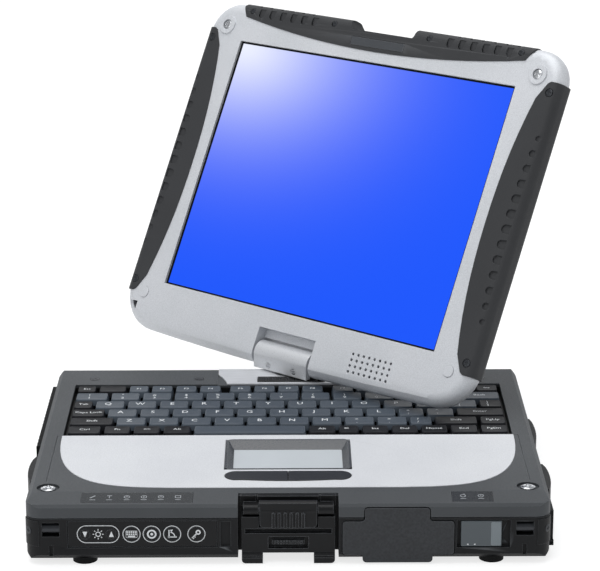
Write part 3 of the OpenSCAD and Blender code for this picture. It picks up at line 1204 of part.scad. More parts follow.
// Rounded section of the lid's side edge, carried along the side
module along_skin() translate([0, 0, side_v0 - 1]) linear_extrude(side_v1 - side_v0 + 2)
    translate([-BIG / 2 + lid_x + bumper_proud, 0]) rounded(BIG, lid_t + 2 * bumper_proud, lid_round - 0.6);
module side_bumpers() color("#3b3d40") at_lid() mirrored_x() right_bumper();
module top_bumper() color("#3b3d40") at_lid() difference() {
    intersection() {
        top_skin(-half_t - bumper_proud, half_t + bumper_proud);
        along_x(-BIG, BIG) translate([0, -BIG / 2 + lid_top + bumper_proud])
            rounded(lid_t + 2 * bumper_proud, BIG, lid_round - 0.6);
    }
    latch_recess();
    mirrored_x() for (u = tooth_us) {
        lid_box(u + 3, lid_top - 1, -BIG, u + 3 + tooth_w, BIG, BIG);
        lid_rod(u, lid_top - 6, half_t + bumper_proud - pocket_d, BIG, 2.2);
        lid_box(u - 2.2, lid_top - 6, half_t + bumper_proud - pocket_d, u + 2.2, lid_top - 2.5, BIG);
    }
    mirrored_x() for (u = top_screw_us) lid_rod(u, lid_top - 4.5, half_t + bumper_proud - 0.8, BIG, 2);
    lid_box(-badge_half - 0.2, badge_v0 - 0.2, half_t, badge_half + 0.2, badge_v0 + badge_h + 0.2, BIG);
}
module badge_plate() color("#5d6064") at_lid()
    lid_box(-badge_half, badge_v0, half_t, badge_half, badge_v0 + badge_h, half_t + bumper_proud + 0.1);
module lid_screws() color("#a6a9ad") at_lid() {
    for (p = corner_pads) translate([p.x, -half_t + 0.4, p.y])
        rotate([90, 0, 0]) slotted_head(lid_screw_r, 0.9);
    mirrored_x() for (v = side_screw_vs) translate([side_end_u + 5, -half_t - bumper_proud + 0.8, v])
        rotate([90, 0, 0]) slotted_head(bumper_screw_r - 0.2, 0.7, 0.6);
    mirrored_x() for (u = top_screw_us) translate([u, -half_t - bumper_proud + 0.8, lid_top - 4.5])
        rotate([90, 0, 0]) slotted_head(1.8, 0.7, 0.5);
}
module lid_caps() color("#c2c4c8") at_lid() for (p = caps)
    lid_rod(p.x, p.y, half_t - 0.8, half_t + 0.4, cap_r);
module speaker() color("#303234") at_lid()
    lid_box(grille_u0 - speaker_margin, speaker_v[0], -2,
            grille_u0 + (grille_n - 1) * grille_du + speaker_margin, speaker_v[1], half_t - lid_shell - 0.05);

lower_case();
upper_case();
palm_rest();
keyboard_tray();
touchpad_frame();
touchpad_surface();
hinge_plate();
swivel_bearing();
front_bay_cover();
latch_cradle();
button_panel();
indicator_windows();
rubber_feet();
corner_guards();
steel_pins();
case_screws();
bottom_cover();
mainboard();
battery_pack();
hard_drive();
heat_plate();
dock_connector();
port_block();
function_keys();
number_keys();
tab_row_keys();
home_row_keys();
shift_row_keys();
bottom_row_keys();
space_bar();
enter_key();
touch_button_left();
touch_button_right();
brightness_down_button();
brightness_up_button();
keyboard_button();
input_button();
rotate_button();
security_button();
power_switch();
release_slider();
front_latch();
left_port_cover();
battery_door();
hard_drive_door();
rear_port_cover();
turret();
hinge_barrel();
barrel_screws();
lid_front_bezel();
lid_back_cover();
lcd_panel();
touch_glass();
side_bumpers();
top_bumper();
badge_plate();
lid_screws();
lid_caps();
hinge_shafts();
speaker();
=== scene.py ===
"""A rugged convertible laptop: the looks of every surface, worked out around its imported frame.

Lengths are in millimetres and turn into metres once, where a mesh or a pattern is made.
"""

import logging
import math
from dataclasses import dataclass, field, replace
from enum import Enum
from typing import Any, Sequence

import bmesh
import bpy
import numpy as np
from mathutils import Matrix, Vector


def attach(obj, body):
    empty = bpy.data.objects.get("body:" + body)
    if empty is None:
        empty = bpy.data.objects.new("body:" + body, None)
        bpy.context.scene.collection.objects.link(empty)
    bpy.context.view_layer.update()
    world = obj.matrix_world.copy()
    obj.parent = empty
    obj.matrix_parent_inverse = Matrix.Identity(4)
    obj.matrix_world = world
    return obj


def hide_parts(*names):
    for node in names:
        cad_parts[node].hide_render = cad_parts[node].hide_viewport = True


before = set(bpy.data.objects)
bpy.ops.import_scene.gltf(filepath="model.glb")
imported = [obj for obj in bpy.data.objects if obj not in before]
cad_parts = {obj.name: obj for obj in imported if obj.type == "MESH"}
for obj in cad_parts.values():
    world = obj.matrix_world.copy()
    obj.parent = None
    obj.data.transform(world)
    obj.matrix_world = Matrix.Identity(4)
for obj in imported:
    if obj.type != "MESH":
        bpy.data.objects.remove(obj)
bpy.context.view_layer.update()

MM = 0.001
LOG = logging.getLogger("laptop")
Array = np.ndarray


# ---------- shapes ----------
@dataclass
class Shell:
    """A surface.

    Attributes:
        points: Its points in millimetres, as (points, xyz).
        faces: Blocks of faces, each as (faces, corners) of point numbers.
        uv: A place in the UV map for each point, or nothing.
    """

    points: Array
    faces: list[Array]
    uv: Array | None = None


def grid_faces(rows: int, columns: int, wrap: bool = True) -> Array:
    """Quads between the neighbours of a grid of points.

    Args:
        rows: Number of rings of points.
        columns: Number of points in a ring.
        wrap: Whether a ring closes on itself.

    Returns:
        Point numbers, four to a face, wound so that a ring that turns left faces out.
    """
    row = np.arange(rows - 1)[:, None] * columns
    start = np.arange(columns if wrap else columns - 1)[None, :]
    after = (start + 1) % columns
    quads = [row + start, row + after, row + columns + after, row + columns + start]
    return np.stack(quads, -1).reshape(-1, 4)


def lofts(rings: Array) -> Shell:
    """Closed solids, each carried through a stack of rings and capped at both ends.

    Args:
        rings: Points as (solid, ring, point, xyz), or (ring, point, xyz) for one solid.

    Returns:
        All of the solids in one shell.
    """
    rings = rings[None] if rings.ndim == 3 else rings
    solids, levels, around, _ = rings.shape
    first = np.arange(solids)[:, None, None] * levels * around
    sides = (first + grid_faces(levels, around)[None]).reshape(-1, 4)
    ring = np.arange(around)[None]
    bottom = first[:, 0] + ring[:, ::-1]
    top = first[:, 0] + (levels - 1) * around + ring
    return Shell(rings.reshape(-1, 3), [sides, bottom, top])


def joined(shells: Sequence[Shell]) -> Shell:
    """Several shells as one, with their point numbers carried on.

    Args:
        shells: The shells to join.

    Returns:
        One shell, without a UV map.
    """
    starts = np.cumsum([0] + [len(s.points) for s in shells])
    faces = [f + start for s, start in zip(shells, starts) for f in s.faces]
    return Shell(np.concatenate([s.points for s in shells]), faces)


def circle(radius: float, count: int, start: float = 0.0) -> Array:
    """Points (radius cos a, radius sin a) at even steps of the angle a."""
    angle = start + np.arange(count) * 2 * math.pi / count
    return radius * np.stack([np.cos(angle), np.sin(angle)], -1)


def rounded_box(half_x: Array, half_y: Array, radius: Array, steps: int = 5) -> Array:
    """Rectangles with round corners.

    Each corner's arc has its centre one radius in from both sides, and its angle a runs over a
    quarter turn: (half_x - radius + radius cos a, half_y - radius + radius sin a), turned by
    a quarter for each corner.

    Args:
        half_x: Half widths, of any shape.
        half_y: Half depths, of the same shape.
        radius: Corner radii, of the same shape.
        steps: Points in each corner.

    Returns:
        Points as (..., 4 * steps, 2).
    """
    half_x, half_y, radius = np.broadcast_arrays(half_x, half_y, radius)
    corner = np.repeat(np.arange(4), steps)
    angle = (corner + np.tile(np.linspace(0, 1, steps), 4)) * math.pi / 2
    side_x = np.where((corner == 0) | (corner == 3), 1.0, -1.0)
    side_y = np.where(corner < 2, 1.0, -1.0)
    x = side_x * (half_x - radius)[..., None] + radius[..., None] * np.cos(angle)
    y = side_y * (half_y - radius)[..., None] + radius[..., None] * np.sin(angle)
    return np.stack([x, y], -1)


def plate(outline: Array, low: float, high: float) -> Shell:
    """A flat outline (points, xy) as a closed plate between two heights."""
    return lofts(np.stack([np.insert(outline, 2, h, axis=1) for h in (low, high)]))


def ring_plate(outer: Array, inner: Array, low: float, high: float) -> Shell:
    """A closed band between two outlines with as many points each, as printed lines are.

    The section runs round four corners: outer low, outer high, inner high, inner low.

    Args:
        outer: The outer outline, as (points, xy).
        inner: The inner outline, with as many points.
        low: Height of the band's underside.
        high: Height of its top.

    Returns:
        The band.
    """
    levels = [(outer, low), (outer, high), (inner, high), (inner, low), (outer, low)]
    rings = np.stack([np.insert(o, 2, h, axis=1) for o, h in levels])
    faces = grid_faces(5, len(outer)) % (4 * len(outer))
    return Shell(rings[:4].reshape(-1, 3), [faces])


def bar(start: tuple[float, float], end: tuple[float, float], width: float) -> Array:
    """The outline of a straight bar between two points.

    Args:
        start: Middle of one end.
        end: Middle of the other end.
        width: Width of the bar, half of it on each side of the line between them.

    Returns:
        Four points, as (4, 2).
    """
    a, b = np.array(start, float), np.array(end, float)
    across = np.array([a[1] - b[1], b[0] - a[0]])
    across = across / np.linalg.norm(across) * width / 2
    return np.stack([a + across, a - across, b - across, b + across])


@dataclass(frozen=True)
class Plane:
    """A flat place on the laptop: where drawings in (x, y, height) go.

    Attributes:
        origin: Where (0, 0, 0) goes.
        across: The way of x.
        up: The way of y.
    """

    origin: tuple[float, float, float]
    across: tuple[float, float, float]
    up: tuple[float, float, float]

    def place(self, shell: Shell) -> Shell:
        """Carries a shell onto this plane: origin + x across + y up + height along the normal.

        Args:
            shell: The drawing, in (x, y, height).

        Returns:
            The same faces, standing on the laptop.
        """
        across, up = np.array(self.across), np.array(self.up)
        turn = np.stack([across, up, np.cross(across, up)])
        return Shell(shell.points @ turn + np.array(self.origin), shell.faces, shell.uv)


@dataclass(frozen=True)
class LidPlace:
    """Where the open lid stands.

    Attributes:
        hinge: The point of the post's axis that the lid tilts about.
        swivel_deg: Its turn about the post, anticlockwise seen from above.
        lean_deg: Its turn about the hinge, less than 0 where it leans back.
        screen_up: How far along the lid the screen's centre is from the hinge.
    """

    hinge: tuple[float, float, float] = (0.0, 100.0, 44.0)
    swivel_deg: float = -41.4
    lean_deg: float = -27.0
    screen_up: float = 104.0

    def plane(self, u: float, v: float, w: float) -> Plane:
        """A plane parallel to the screen, at hinge + swivel * lean * (u, -w, v + screen_up).

        Args:
            u: How far right of the screen's centre.
            v: How far above it.
            w: How far in front of the middle of the lid's thickness.

        Returns:
            The plane, with its drawing upright on the lid.
        """
        swivel, lean = math.radians(self.swivel_deg), math.radians(self.lean_deg)
        turn = np.array(
            [
                [math.cos(swivel), -math.sin(swivel), 0],
                [math.sin(swivel), math.cos(swivel), 0],
                [0, 0, 1],
            ]
        )
        tilt = np.array(
            [
                [1, 0, 0],
                [0, math.cos(lean), -math.sin(lean)],
                [0, math.sin(lean), math.cos(lean)],
            ]
        )
        full = turn @ tilt
        origin = np.array(self.hinge) + full @ np.array([u, -w, v + self.screen_up])
        across, up = full @ np.array([1, 0, 0]), full @ np.array([0, 0, 1])
        return Plane(tuple(origin), tuple(across), tuple(up))


# ---------- finishes ----------
def linear(code: str) -> tuple[float, float, float, float]:
    """An sRGB hex colour as linear light: c / 12.92, or ((c + 0.055) / 1.055) to the 2.4.

    Args:
        code: The colour, as "#rrggbb".

    Returns:
        Red, green, blue and an alpha of 1.
    """
    parts = [int(code[i : i + 2], 16) / 255 for i in (1, 3, 5)]
    light = [c / 12.92 if c <= 0.04045 else ((c + 0.055) / 1.055) ** 2.4 for c in parts]
    return (*light, 1.0)


def add(tree: Any, kind: str, inputs: dict | None = None, **settings: Any) -> Any:
    """Adds a node, sets it and links it.

    Args:
        tree: The node tree.
        kind: The node's type name.
        inputs: Socket name or number to a value, or to the socket that feeds it.
        settings: The node's own settings.

    Returns:
        The new node.
    """
    node = tree.nodes.new(kind)
    for key, value in settings.items():
        setattr(node, key, value)
    for key, value in (inputs or {}).items():
        if isinstance(value, bpy.types.NodeSocket):
            tree.links.new(value, node.inputs[key])
        else:
            node.inputs[key].default_value = value
    return node


def blank(name: str) -> tuple[bpy.types.Material, Any]:
    """Makes a material with an empty node tree.

    Args:
        name: The material's name.

    Returns:
        The material and its tree.
    """
    material = bpy.data.materials.new(name)
    material.use_nodes = True
    material.node_tree.nodes.clear()
    return material, material.node_tree


def spread(tree: Any, source: Any, low: float, high: float, at: tuple[float, float]) -> Any:
    """Maps a pattern's values between at[0] and at[1] to low and high, and holds them there."""
    sockets = {0: source, 1: at[0], 2: at[1], 3: low, 4: high}
    return add(tree, "ShaderNodeMapRange", sockets).outputs[0]


def tint(tree: Any, share: Any, first: Any, second: Any) -> Any:
    """Mixes two colours by a share from 0 to 1."""
    sockets = {0: share, 6: first, 7: second}
    return add(tree, "ShaderNodeMix", sockets, data_type="RGBA").outputs[2]


class Streak(Enum):
    """Which way a surface was brushed: the grain's scale along each axis."""

    NONE = (1.0, 1.0, 1.0)
    ALONG_X = (0.03, 1.0, 1.0)


# the middle part of a noise's values, stretched over its whole effect
NOISE_SPAN = (0.3, 0.7)
# cosine of the angle between the eased and the flat normal: the paler edge colour, partly
# scuffing and partly a painted highlight, is full at the first value and none at the second
EDGE_SPAN = (0.75, 0.98)


@dataclass(frozen=True)
class Solid:
    """An opaque surface: a plastic, rubber, paint or metal with a fine grain.

    Two noises on Object coordinates give it life: a cloud tens of millimetres wide that shifts
    the colour a little, and a grain that shifts roughness and height. A moulded or sprayed grain
    is really about a tenth of a millimetre wide, and is drawn up to ten times coarser so that it
    shows. Edges are eased by a small radius, and where that radius turns the surface most the
    colour goes to a paler edge colour: partly scuffing, and partly a painted highlight.

    Attributes:
        name: Name of the material: what it is and how its surface was made.
        colour: Its colour.
        cloud: What that colour shifts to in the clouds.
        edge_wear_and_highlight: Its colour along the edges.
        roughness: Middle roughness.
        swing: How far the grain moves the roughness either way.
        metallic: 0 for a plastic, 1 for bare metal, between them for paint with flakes.
        grain_mm: Width of the grain.
        relief_mm: Height of the grain.
        cloud_mm: Width of a cloud.
        edge_mm: Radius that eases the edges.
        edge_wear_and_highlight: Its colour along the edges: scuffing and a painted highlight.
        edge_wear_and_highlight_share: Share of that colour at an edge.
        sparkle: How much the grain moves the colour's brightness, a painted glint.
        level: Strength of the mirror-like part.
        streak: Which way it was brushed.
    """

    name: str
    colour: str
    cloud: str
    edge_wear_and_highlight: str
    roughness: float
    swing: float = 0.08
    metallic: float = 0.0
    grain_mm: float = 0.8
    relief_mm: float = 0.02
    cloud_mm: float = 45.0
    edge_mm: float = 0.35
    edge_wear_and_highlight_share: float = 0.35
    sparkle: float = 0.0
    level: float = 0.5
    streak: Streak = Streak.NONE

    def noise(self, tree: Any, where: Any, width_mm: float, detail: float) -> Any:
        """A noise whose lumps are about as wide as given, in the tree."""
        sockets = {"Vector": where, "Scale": 1 / (width_mm * MM), "Detail": detail}
        return add(tree, "ShaderNodeTexNoise", sockets).outputs[0]

    def build(self) -> bpy.types.Material:
        """Makes the nodes of this finish.

        Returns:
            Its material.
        """
        material, tree = blank(self.name)
        where = add(tree, "ShaderNodeTexCoord").outputs["Object"]
        worked = add(
            tree, "ShaderNodeMapping", {"Vector": where, "Scale": self.streak.value}
        ).outputs[0]
        cloud = self.noise(tree, where, self.cloud_mm, 2.0)
        grain = self.noise(tree, worked, self.grain_mm, 3.0)
        share = spread(tree, cloud, 0.0, 1.0, NOISE_SPAN)
        colour = tint(tree, share, linear(self.colour), linear(self.cloud))
        if self.sparkle:
            # painted glint: metal flakes in the paint, each painted a little brighter or darker
            painted_flake_glint = spread(tree, grain, 1 - self.sparkle, 1 + self.sparkle, NOISE_SPAN)
            colour = add(
                tree, "ShaderNodeVectorMath", {0: colour, "Scale": painted_flake_glint}, operation="SCALE"
            ).outputs[0]
        eased = add(
            tree, "ShaderNodeBevel", {"Radius": self.edge_mm * MM}, samples=4
        ).outputs[0]
        flat = add(tree, "ShaderNodeNewGeometry").outputs["True Normal"]
        turn = add(
            tree, "ShaderNodeVectorMath", {0: eased, 1: flat}, operation="DOT_PRODUCT"
        ).outputs["Value"]
        # the edges go towards a paler colour: partly scuffing, partly a painted highlight
        edge_wear_and_highlight_mask = spread(tree, turn, self.edge_wear_and_highlight_share, 0.0, EDGE_SPAN)
        colour = tint(tree, edge_wear_and_highlight_mask, colour, linear(self.edge_wear_and_highlight))
        relief = add(
            tree,
            "ShaderNodeBump",
            {"Height": grain, "Distance": self.relief_mm * MM, "Strength": 1.0, "Normal": eased},
        ).outputs[0]
        rough = spread(
            tree, grain, self.roughness - self.swing, self.roughness + self.swing, NOISE_SPAN
        )
        shader = add(
            tree,
            "ShaderNodeBsdfPrincipled",
            {
                "Base Color": colour,
                "Metallic": self.metallic,
                "Roughness": rough,
                "Normal": relief,
                "Specular IOR Level": self.level,
            },
        )
        add(tree, "ShaderNodeOutputMaterial", {0: shader.outputs[0]})
        return material


@dataclass(frozen=True)
class Display:
    """A lit panel behind a hard coat: its picture glows, and its border is black ink.

    The picture is one blue with a pale glow in a corner. With d the distance from the glow's
    centre in the UV map, where u and v run from 0 to 1 over the glass and u is squeezed, the
    pale colour's share is peak times e to the minus (d / reach) to the power of fall. Only the
    lens sees the full strength, so the picture throws little light on what stands near it.

    Attributes:
        name: Name of the material.
        deep: The picture's blue.
        pale: The colour of the glow.
        ink: The coat's own colour.
        dark: The black border.
        glow: Centre of the glow.
        squeeze: Scale of u against v, so that the glow is a little wider than high.
        peak: Share of the pale colour at the centre.
        reach: Distance at which that share has fallen to e to the minus 1.
        fall: How suddenly it falls.
        border: Width of the black border, as shares of the glass.
        spill: Strength of the light that it throws on other things.
        roughness: Roughness of the hard coat.
        level: Strength of the coat's reflection.
    """

    name: str
    deep: str
    pale: str
    ink: str = "#060708"
    dark: str = "#050607"
    glow: tuple[float, float] = (0.03, 0.97)
    squeeze: float = 0.83
    peak: float = 0.92
    reach: float = 0.28
    fall: float = 1.4
    border: tuple[float, float] = (0.0165, 0.0195)
    spill: float = 0.06
    roughness: float = 0.35
    level: float = 0.1

    def maths(self, tree: Any, operation: str, *values: Any) -> Any:
        """One step of arithmetic on numbers or sockets, in the tree."""
        node = add(tree, "ShaderNodeMath", dict(enumerate(values)), operation=operation)
        return node.outputs[0]

    def share(self, tree: Any, where: Any) -> Any:
        """The pale colour's share: peak times e to the minus (distance / reach) to the fall.

        Args:
            tree: The node tree.
            where: The place in the UV map.

        Returns:
            The socket that gives the share.
        """
        flat = add(
            tree, "ShaderNodeMapping", {"Vector": where, "Scale": (self.squeeze, 1.0, 1.0)}
        ).outputs[0]
        centre = (self.glow[0] * self.squeeze, self.glow[1], 0.0)
        away = add(
            tree, "ShaderNodeVectorMath", {0: flat, 1: centre}, operation="DISTANCE"
        ).outputs["Value"]
        power = self.maths(
            tree, "POWER", self.maths(tree, "DIVIDE", away, self.reach), self.fall
        )
        decay = self.maths(tree, "POWER", math.exp(-1), power)
        return self.maths(tree, "MULTIPLY", decay, self.peak)

    def inside(self, tree: Any, part: Any, margin: float) -> Any:
        """1 where one coordinate is at least the margin away from both ends, else 0.

        Args:
            tree: The node tree.
            part: The coordinate, from 0 to 1.
            margin: Width of the border at each end.

        Returns:
            The socket that gives 1 or 0.
        """
        off = self.maths(tree, "ABSOLUTE", self.maths(tree, "SUBTRACT", part, 0.5))
        return self.maths(tree, "LESS_THAN", off, 0.5 - margin)

    def build(self) -> bpy.types.Material:
        """Makes the nodes of this finish.

        Returns:
            Its material.
        """
        material, tree = blank(self.name)
        where = add(tree, "ShaderNodeTexCoord").outputs["UV"]
        parts = add(tree, "ShaderNodeSeparateXYZ", {0: where}).outputs
        picture = tint(tree, self.share(tree, where), linear(self.deep), linear(self.pale))
        across = self.inside(tree, parts[0], self.border[0])
        up = self.inside(tree, parts[1], self.border[1])
        shows = self.maths(tree, "MULTIPLY", across, up)
        lens = add(tree, "ShaderNodeLightPath").outputs["Is Camera Ray"]
        shader = add(
            tree,
            "ShaderNodeBsdfPrincipled",
            {
                "Base Color": linear(self.ink),
                "Roughness": self.roughness,
                "Specular IOR Level": self.level,
                "Emission Color": tint(tree, shows, linear(self.dark), picture),
                "Emission Strength": spread(tree, lens, self.spill, 1.0, (0.0, 1.0)),
            },
        )
        add(tree, "ShaderNodeOutputMaterial", {0: shader.outputs[0]})
        return material


# Injection-moulded ABS with a spark-eroded skin: dark and dull, a painted highlight on its edges
DECK = Solid(
    "textured_abs_deck", "#494c4f", "#44474a", "#8b8f93", 0.55, relief_mm=0.03, edge_mm=0.5,
    edge_wear_and_highlight_share=0.65, level=0.3,
)
CASE = Solid(
    "textured_abs_case", "#151618", "#121315", "#6d7073", 0.5, relief_mm=0.03, edge_mm=0.5,
    edge_wear_and_highlight_share=0.65, level=0.2,
)
# The same ABS with a finer skin, on ribs, levers and buttons: nearly black, drawn by a
# painted highlight along its edges
BLACK = Solid(
    "satin_abs_black", "#121315", "#0f1012", "#7a7d81", 0.45, grain_mm=0.5, edge_mm=0.6,
    edge_wear_and_highlight_share=0.9, level=0.22,
)
# The moulded bed under the keys: its own near black, deepened by painted shade to match
# the shaded gaps between them
TRAY = Solid("satin_abs_key_tray", "#0c0d0e", "#0a0b0c", "#141517", 0.5, edge_wear_and_highlight_share=0.0)
# Panel cover with a coarser spark-eroded grain, with a painted glint in fine dots
COVER = Solid(
    "coarse_textured_abs", "#35373a", "#313336", "#85888c", 0.6, grain_mm=1.1, relief_mm=0.1,
    edge_mm=0.5, edge_wear_and_highlight_share=0.65, sparkle=0.34, level=0.35,
)
# Moulded rubber: matt, greyish along its edges, partly scuffing and partly a painted highlight
BUMPER = Solid("moulded_rubber_bumper", "#393a3c", "#343537", "#5c5f63", 0.6, level=0.3)
RUBBER = Solid("moulded_rubber_black", "#101112", "#0d0e0f", "#2c2e30", 0.7, level=0.15)
# Metallic paint on die-cast magnesium: a nearly white silver with fine flakes
SILVER = Solid(
    "metallic_paint_on_magnesium",
    "#d8dade",
    "#d0d3d7",
    "#eceef0",
    0.5,
    metallic=0.25,
    grain_mm=0.55,
    relief_mm=0.006,
    sparkle=0.11,
    edge_mm=0.5,
    edge_wear_and_highlight_share=0.3,
)
# The same paint sprayed duller, for hands to rest on: even and without a glint
PALM = replace(
    SILVER,
    name="metallic_paint_palm_rest",
    colour="#d8dadd",
    cloud="#d0d2d6",
    metallic=0.1,
    roughness=0.62,
)
# Rolled light-alloy sheet, brushed from side to side
PLATE = replace(
    SILVER,
    name="brushed_aluminium_plate",
    colour="#d8dadd",
    cloud="#cfd1d5",
    metallic=0.35,
    roughness=0.38,
    streak=Streak.ALONG_X,
    grain_mm=0.35,
)
# Die-cast cover in the same paint as the lid, but brighter on its round top
CAST = replace(
    SILVER,
    name="die_cast_hinge_cover",
    colour="#dddfe2",
    cloud="#d6d8db",
    metallic=0.4,
    roughness=0.34,
    sparkle=0.0,
    relief_mm=0.003,
)
# Nickel-plated steel: bright, almost smooth
STEEL = Solid(
    "nickel_plated_steel", "#c9cbce", "#b9bbbe", "#e4e6e8", 0.22, metallic=1.0, relief_mm=0.004
)
# Black-oxide steel: dark, with a painted glint, a paler colour, along its edges
GUNMETAL = Solid(
    "black_oxide_steel", "#3a3c40", "#333538", "#6b6e72", 0.36, metallic=0.7, relief_mm=0.004
)
# Two-shot keycap plastic: a fine matt skin with a painted highlight, pale along its edges
KEY_GREY = Solid(
    "key_plastic_slate", "#434c56", "#3e4751", "#a8b2bd", 0.45, grain_mm=0.4, edge_mm=0.4,
    edge_wear_and_highlight_share=0.9, level=0.35,
)
KEY_BLACK = Solid(
    "key_plastic_black", "#17181d", "#141519", "#5a5e66", 0.45, grain_mm=0.4, edge_mm=0.4,
    edge_wear_and_highlight_share=0.8, level=0.12,
)
# Satin ABS round the touchpad: dark grey with a painted highlight, a pale line along its rim
FRAME = Solid("satin_abs_pad_frame", "#46494d", "#404347", "#b4b7bb", 0.3, grain_mm=0.5, edge_wear_and_highlight_share=0.8)
# The same, darker, on the two touch buttons
BUTTON = Solid("satin_abs_pad_button", "#282a2d", "#242629", "#5a5d61", 0.36, grain_mm=0.5)
# Polyester film printed on its back: smooth, pale and cool
PAD = Solid(
    "printed_pad_film", "#c6ccd0", "#c0c6ca", "#d2d7da", 0.42, relief_mm=0.004, edge_wear_and_highlight_share=0.1
)
# Tinted acrylic over unlit lamps: dark, with a clear gloss
WINDOW = Solid("smoked_acrylic", "#2f3235", "#2b2e31", "#4c4f52", 0.22, relief_mm=0.002)
# Smooth ABS polished by fingers: grey with a sharp gloss, and a paler strip let into it
KNOB = Solid("smooth_abs_grey", "#4e565b", "#495156", "#8e979c", 0.3, swing=0.02, relief_mm=0.002)
KNOB_STRIP = replace(KNOB, name="smooth_abs_pale", colour="#7d868b", cloud="#767f84")
# Pad-printed ink: flat and even, grey on the lamp windows and white on keys and buttons
MARK = Solid("grey_pad_print", "#a4a8ac", "#9da1a5", "#a4a8ac", 0.5, relief_mm=0.0, edge_wear_and_highlight_share=0.0)
PRINT = Solid("white_pad_print", "#eceff1", "#e4e8ea", "#eceff1", 0.5, relief_mm=0.0, edge_wear_and_highlight_share=0.0)
# Solder mask over a glass-fibre board: green, half glossy
BOARD = Solid("solder_mask_green", "#1f5133", "#1a452b", "#3c7650", 0.4, grain_mm=2.0)
# Printed sleeve shrunk over the battery's cells: satin, nearly black
CELL = Solid("printed_battery_sleeve", "#1d1e20", "#191a1b", "#303134", 0.4)
# Unpainted die-cast aluminium of drives and heat plates: greyer than the painted castings
DRIVE = replace(CAST, name="cast_drive_housing", colour="#a7abb0", cloud="#9a9ea3")
# Lit liquid crystal panel behind a hard coat: its own light, hardly a reflection
SCREEN = Display("lit_display", "#1455fc", "#f6f9ff")


